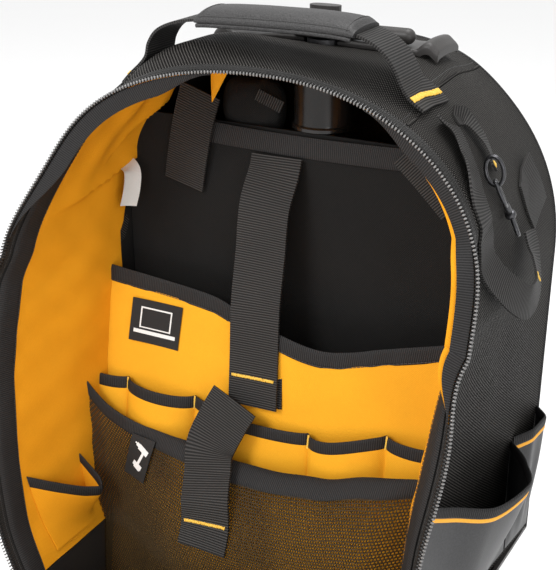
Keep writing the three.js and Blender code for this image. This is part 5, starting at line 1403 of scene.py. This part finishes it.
def cut(o, outline, low, high):
    """Cuts an upright opening with the given outline through a piece."""
    n = len(outline)
    verts = [(x * 0.001, y * 0.001, z * 0.001) for z in (low, high) for x, y in outline]
    faces = [tuple(range(n))[::-1], tuple(range(n, 2 * n))]
    faces += [(k, (k + 1) % n, n + (k + 1) % n, n + k) for k in range(n)]
    tool_mesh = bpy.data.meshes.new("opening")
    tool_mesh.from_pydata(verts, [], faces)
    tool = add("opening", tool_mesh)
    opening = o.modifiers.new("opening", "BOOLEAN")
    opening.operation = "DIFFERENCE"
    opening.solver = "EXACT"
    opening.object = tool
    mesh = bpy.data.meshes.new_from_object(settled(o))
    o.modifiers.remove(opening)
    o.data = mesh
    bpy.data.objects.remove(tool)
    mesh.set_sharp_from_angle(angle=math.radians(32))


def ring_round(radius_x, radius_y, power=2.0):
    """The outline of an opening about the poles' middle."""
    a = np.linspace(0, 2 * np.pi, 72, endpoint=False)
    bend = lambda t: np.sign(t) * np.abs(t) ** (2 / power)
    return [(radius_x * bend(np.cos(t)), POLE_Y + radius_y * bend(np.sin(t))) for t in a]


# The poles' way through the top cloth and the linings under it
for name in ("top_panel", "lining_cloth_left", "lining_cloth_right", "rear_lining_cloth"):
    cut(bpy.data.objects[name], ring_round(POLE_WAY, POLE_WAY), 480, 520)

# The guard: a moulded plate whose two ends stand up beside the grip's bar
GUARD_ROWS = [(100, 2.6), (104, 4.6), (120, 5.6), (140, 4.4), (144, 2.4)]


def guard_top(x, y):
    rise = soft_look(GUARD_ROWS, y)
    rise = rise + 6.5 * smooth((np.abs(x) - 74) / 10) - 5 * smooth((np.abs(x) - 86) / 8)
    return RIM_HEIGHT + rise


def cloth_top(x, y):
    low, high = np.full_like(x, SIDE_SHARE), np.full_like(x, 1 - SIDE_SHARE)
    for _ in range(30):
        middle = (low + high) / 2
        here = wall(middle, share_at_y(middle, y))[..., 0] < x
        low, high = np.where(here, middle, low), np.where(here, high, middle)
    return wall(low, share_at_y(low, y))[..., 2]


ends = np.array([0, .25, .7, 1.3, 2.2, 3.4])
GUARD_HALF, GUARD_FRONT, GUARD_BACK, GUARD_ROUND = 94, 100, 144, 2.2
guard_x = np.linspace(4.5 - GUARD_HALF, GUARD_HALF - 4.5, 120)
guard_x = np.concatenate([ends - GUARD_HALF, guard_x, GUARD_HALF - ends[::-1]])
guard_y = np.linspace(GUARD_FRONT + 5, GUARD_BACK - 5, 14)
guard_y = np.concatenate([GUARD_FRONT + ends, guard_y, GUARD_BACK - ends[::-1]])
X, Y = np.meshgrid(guard_x, guard_y, indexing="ij")
edge_near = np.minimum(GUARD_HALF - np.abs(X), np.minimum(Y - GUARD_FRONT, GUARD_BACK - Y))
past_round = np.maximum(0, GUARD_ROUND - edge_near)
rounding = GUARD_ROUND - np.sqrt(np.maximum(0, GUARD_ROUND ** 2 - past_round ** 2))
top_z = guard_top(X, Y)
low_z = np.maximum(cloth_top(X, Y) + GAP + 0.4, top_z - 6.5)
top_z = np.maximum(top_z, low_z + 4)
v, f, uv = skin(np.stack([X, Y, top_z - rounding], -1), np.stack([X, Y, low_z], -1))
guard = make("guard_plate", v, f, "plastic", v[:, :2], slot="hard_plastic",
             replaces="trolley_guard", angle=32)
cut(guard, ring_round(POLE_WAY, POLE_WAY), 480, 540)

# The grip: a round bar with a box-shaped hub in the middle
GRIP_LOW = RIM_HEIGHT + 7
BAR_SIDES, BAR_HALF, BAR_R = 56, 73, 6
ends = BAR_R * (1 - np.cos(np.linspace(0, np.pi / 2, 9)))
grip_x = np.concatenate([ends, np.linspace(7, 46, 14), np.linspace(47, 55, 17)])
grip_x = np.concatenate([grip_x - BAR_HALF, np.linspace(-17, 17, 21), BAR_HALF - grip_x[::-1]])
a = np.linspace(0, 2 * np.pi, BAR_SIDES, endpoint=False)
rings = []
for x in grip_x:
    end = np.sqrt(max(0.0004, 1 - max(0, (abs(x) - BAR_HALF + BAR_R) / BAR_R) ** 2))
    box_share = float(smooth((23 - abs(x)) / 2.4))
    power = 2 + 5 * box_share
    bend = lambda t: np.sign(t) * np.abs(t) ** (2 / power)
    half_y = BAR_R * end + (11.5 - BAR_R * end) * box_share
    half_z = BAR_R * end + (8 - BAR_R * end) * box_share
    middle = GRIP_LOW + BAR_R + 2 * box_share
    rings.append(np.stack([np.full(BAR_SIDES, x), POLE_Y + half_y * bend(np.cos(a)),
                           middle + half_z * bend(np.sin(a))], -1))
v, f = capped(np.array(rings), [[x, POLE_Y, GRIP_LOW + BAR_R] for x in (-BAR_HALF, BAR_HALF)])
pull = make("pull_bar", v, f, "plastic", v[:, :2], slot="hard_plastic",
            replaces="trolley_grip", body="grip_stage", angle=32)
cut(pull, ring_round(12.9, 6.4, 2.6), RIM_HEIGHT + 17, RIM_HEIGHT + 40)


WHEEL_X, WHEEL_Y, WHEEL_R, WHEEL_WIDTH, AXLE_R = 134.0, 152.0, 34.0, 24.0, 5.0
half = WHEEL_WIDTH / 2
tyre = [(WHEEL_R - 7.8, -half + 1), (WHEEL_R - 4, -half), (WHEEL_R - 1.6, -half + 1.6),
        (WHEEL_R - .3, -half + 4.2), (WHEEL_R, -half / 2), (WHEEL_R, half / 2),
        (WHEEL_R - .3, half - 4.2), (WHEEL_R - 1.6, half - 1.6), (WHEEL_R - 4, half),
        (WHEEL_R - 7.8, half - 1)]
disc = [(AXLE_R + 0.5, -half), (10.6, -half), (11.2, -half + .6), (12, -half + 5),
        (23, -half + 4), (24, -half + 1.2), (WHEEL_R - 7.9, -half + 1.2), (WHEEL_R - 7.9, half - 1.2),
        (24, half - 1.2), (23, half - 4), (12, half - 5), (11.2, half - .6), (10.6, half),
        (AXLE_R + 0.5, half)]
for side, word in ((-1, "left"), (1, "right")):
    for name, rows, mat, node_name in ((f"tyre_{word}", tyre, "rubber", f"wheel_{word}"),
                                       (f"wheel_disc_{word}", disc, "plastic", None)):
        turned(name, rows, lambda c, s, h: (side * WHEEL_X + h, WHEEL_Y + c, WHEEL_R + s), [1, 2],
               96, mat, replaces=node_name, body=f"wheel_{word}_body", angle=32)


def soften(name, width, mat):
    """Keeps a solid's own mesh and rounds its edges."""
    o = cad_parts[name]
    o.data.materials.clear()
    o.data.materials.append(M[mat])
    if not o.data.uv_layers:
        o.data.uv_layers.new(name="uv")
    bevel = o.modifiers.new("round", "BEVEL")
    bevel.width = width * 0.001
    bevel.segments = 3
    bevel.limit_method = "ANGLE"
    bevel.angle_limit = math.radians(32)
    bevel.harden_normals = True


for name, width, mat in (("trolley_button", .8, "plastic"), ("base_tray", 1.6, "plastic"),
                         ("axle_left", .4, "metal"), ("axle_right", .4, "metal")):
    soften(name, width, mat)

# Front flap
FLAP_LONG = 438.0
foot = rim_y(TRAY_HEIGHT)
FLAP_PATH = [(0, foot - 2.4, 71), (0, foot - 4.5, 48), (0, foot - 11, 25), (0, foot - 26, 9),
             (0, foot - 50, 3), (0, foot - 90, 2.2), (0, foot - 200, 2.2), (0, foot - 700, 2.2)]
path, path_run = spline(FLAP_PATH, 900)
path_at = np.linspace(0, path_run, 900)


def flap_half(run):
    z = TRAY_HEIGHT + run * (RIM_HEIGHT - TRAY_HEIGHT) / FLAP_LONG
    level = (z - TRAY_HEIGHT) / (SPRING - TRAY_HEIGHT)
    up = np.clip((z - SPRING) / (RIM_HEIGHT - SPRING), 0, 1)
    arch = HALF_WIDTH * 1.12 * np.maximum(0, 1 - up ** ARCH_POWER) ** (1 / ARCH_POWER)
    return np.where(z < SPRING, HALF_WIDTH * (0.94 + 0.18 * level), arch)


def flap_point(x, run, off):
    y = np.interp(run, path_at, path[:, 1])
    z = np.interp(run, path_at, path[:, 2])
    dy = np.interp(run + 1, path_at, path[:, 1]) - np.interp(run - 1, path_at, path[:, 1])
    dz = np.interp(run + 1, path_at, path[:, 2]) - np.interp(run - 1, path_at, path[:, 2])
    size = np.hypot(dy, dz)
    return np.stack([x, y - dz / size * off, np.maximum(z - dy / size * off, 0.2)], -1)


def flap_sheet(name, inset, low, high, mat, replaces, crown=0.0):
    S, T = grid(50, 120)
    longest = FLAP_LONG - inset
    run = longest * np.sin(np.pi / 2 * T ** 1.1)
    half = np.maximum(1.0, flap_half(run * FLAP_LONG / longest) - inset)
    x = (S * 2 - 1) * half
    swell = crown * smooth((1 - np.abs(S * 2 - 1)) * 6) * smooth((1 - T) * 9) * smooth(T * 9)
    waves = 0.5 * np.sin(x / 31 + run / 47) * swell / max(crown, 1)
    v, f, uv = skin(flap_point(x, run, low), flap_point(x, run, high + swell + waves))
    return make(name, v, f, mat, uv, replaces=replaces)


flap_sheet("flap_outer_cloth", 11, -1.8, 1.6, "cloth", "flap_cloth")
flap_sheet("flap_lining_cloth", 29, 1.7, 2.8, "yellow", "flap_lining", 0.5)
flap_sheet("flap_tape_cloth", 0, -0.7, 0.7, "tape", "flap_tape")
flap_sheet("flap_binding_cloth", 11.5, 1.2, 2.3, "binding", None, 0.2)

# Stage
floor_mesh = bpy.data.meshes.new("floor")
reach = 30.0
floor_mesh.from_pydata([(-reach, -reach, 0), (reach, -reach, 0), (reach, reach, 0),
                        (-reach, reach, 0)], [], [(0, 1, 2, 3)])
floor = add("floor", floor_mesh)
pale = bpy.data.materials.new("pale_floor")
pale.use_nodes = True
pale.node_tree.nodes["Principled BSDF"].inputs["Base Color"].default_value = (.92, .92, .92, 1)
pale.node_tree.nodes["Principled BSDF"].inputs["Roughness"].default_value = 0.9
floor_mesh.materials.append(pale)

world = bpy.data.worlds.new("studio")
bpy.context.scene.world = world
world.use_nodes = True
world.node_tree.nodes["Background"].inputs[0].default_value = (1, 1, 1, 1)
world.node_tree.nodes["Background"].inputs[1].default_value = 0.95


def lamp(name, place, aim, size, power):
    data = bpy.data.lights.new(name, "AREA")
    data.size = size
    data.energy = power
    o = add(name, data)
    o.location = place
    o.rotation_euler = (Vector(place) - Vector(aim)).to_track_quat("Z", "Y").to_euler()


lamp("key", (-0.7, -1.7, 1.6), (0, 0.05, 0.3), 0.8, 30)
lamp("fill", (1.4, -1.2, 0.9), (0, 0.05, 0.3), 1.0, 8)
lamp("top", (0.1, 0.3, 1.9), (0, 0.05, 0.4), 0.8, 18)
bpy.context.scene.view_settings.view_transform = "Standard"
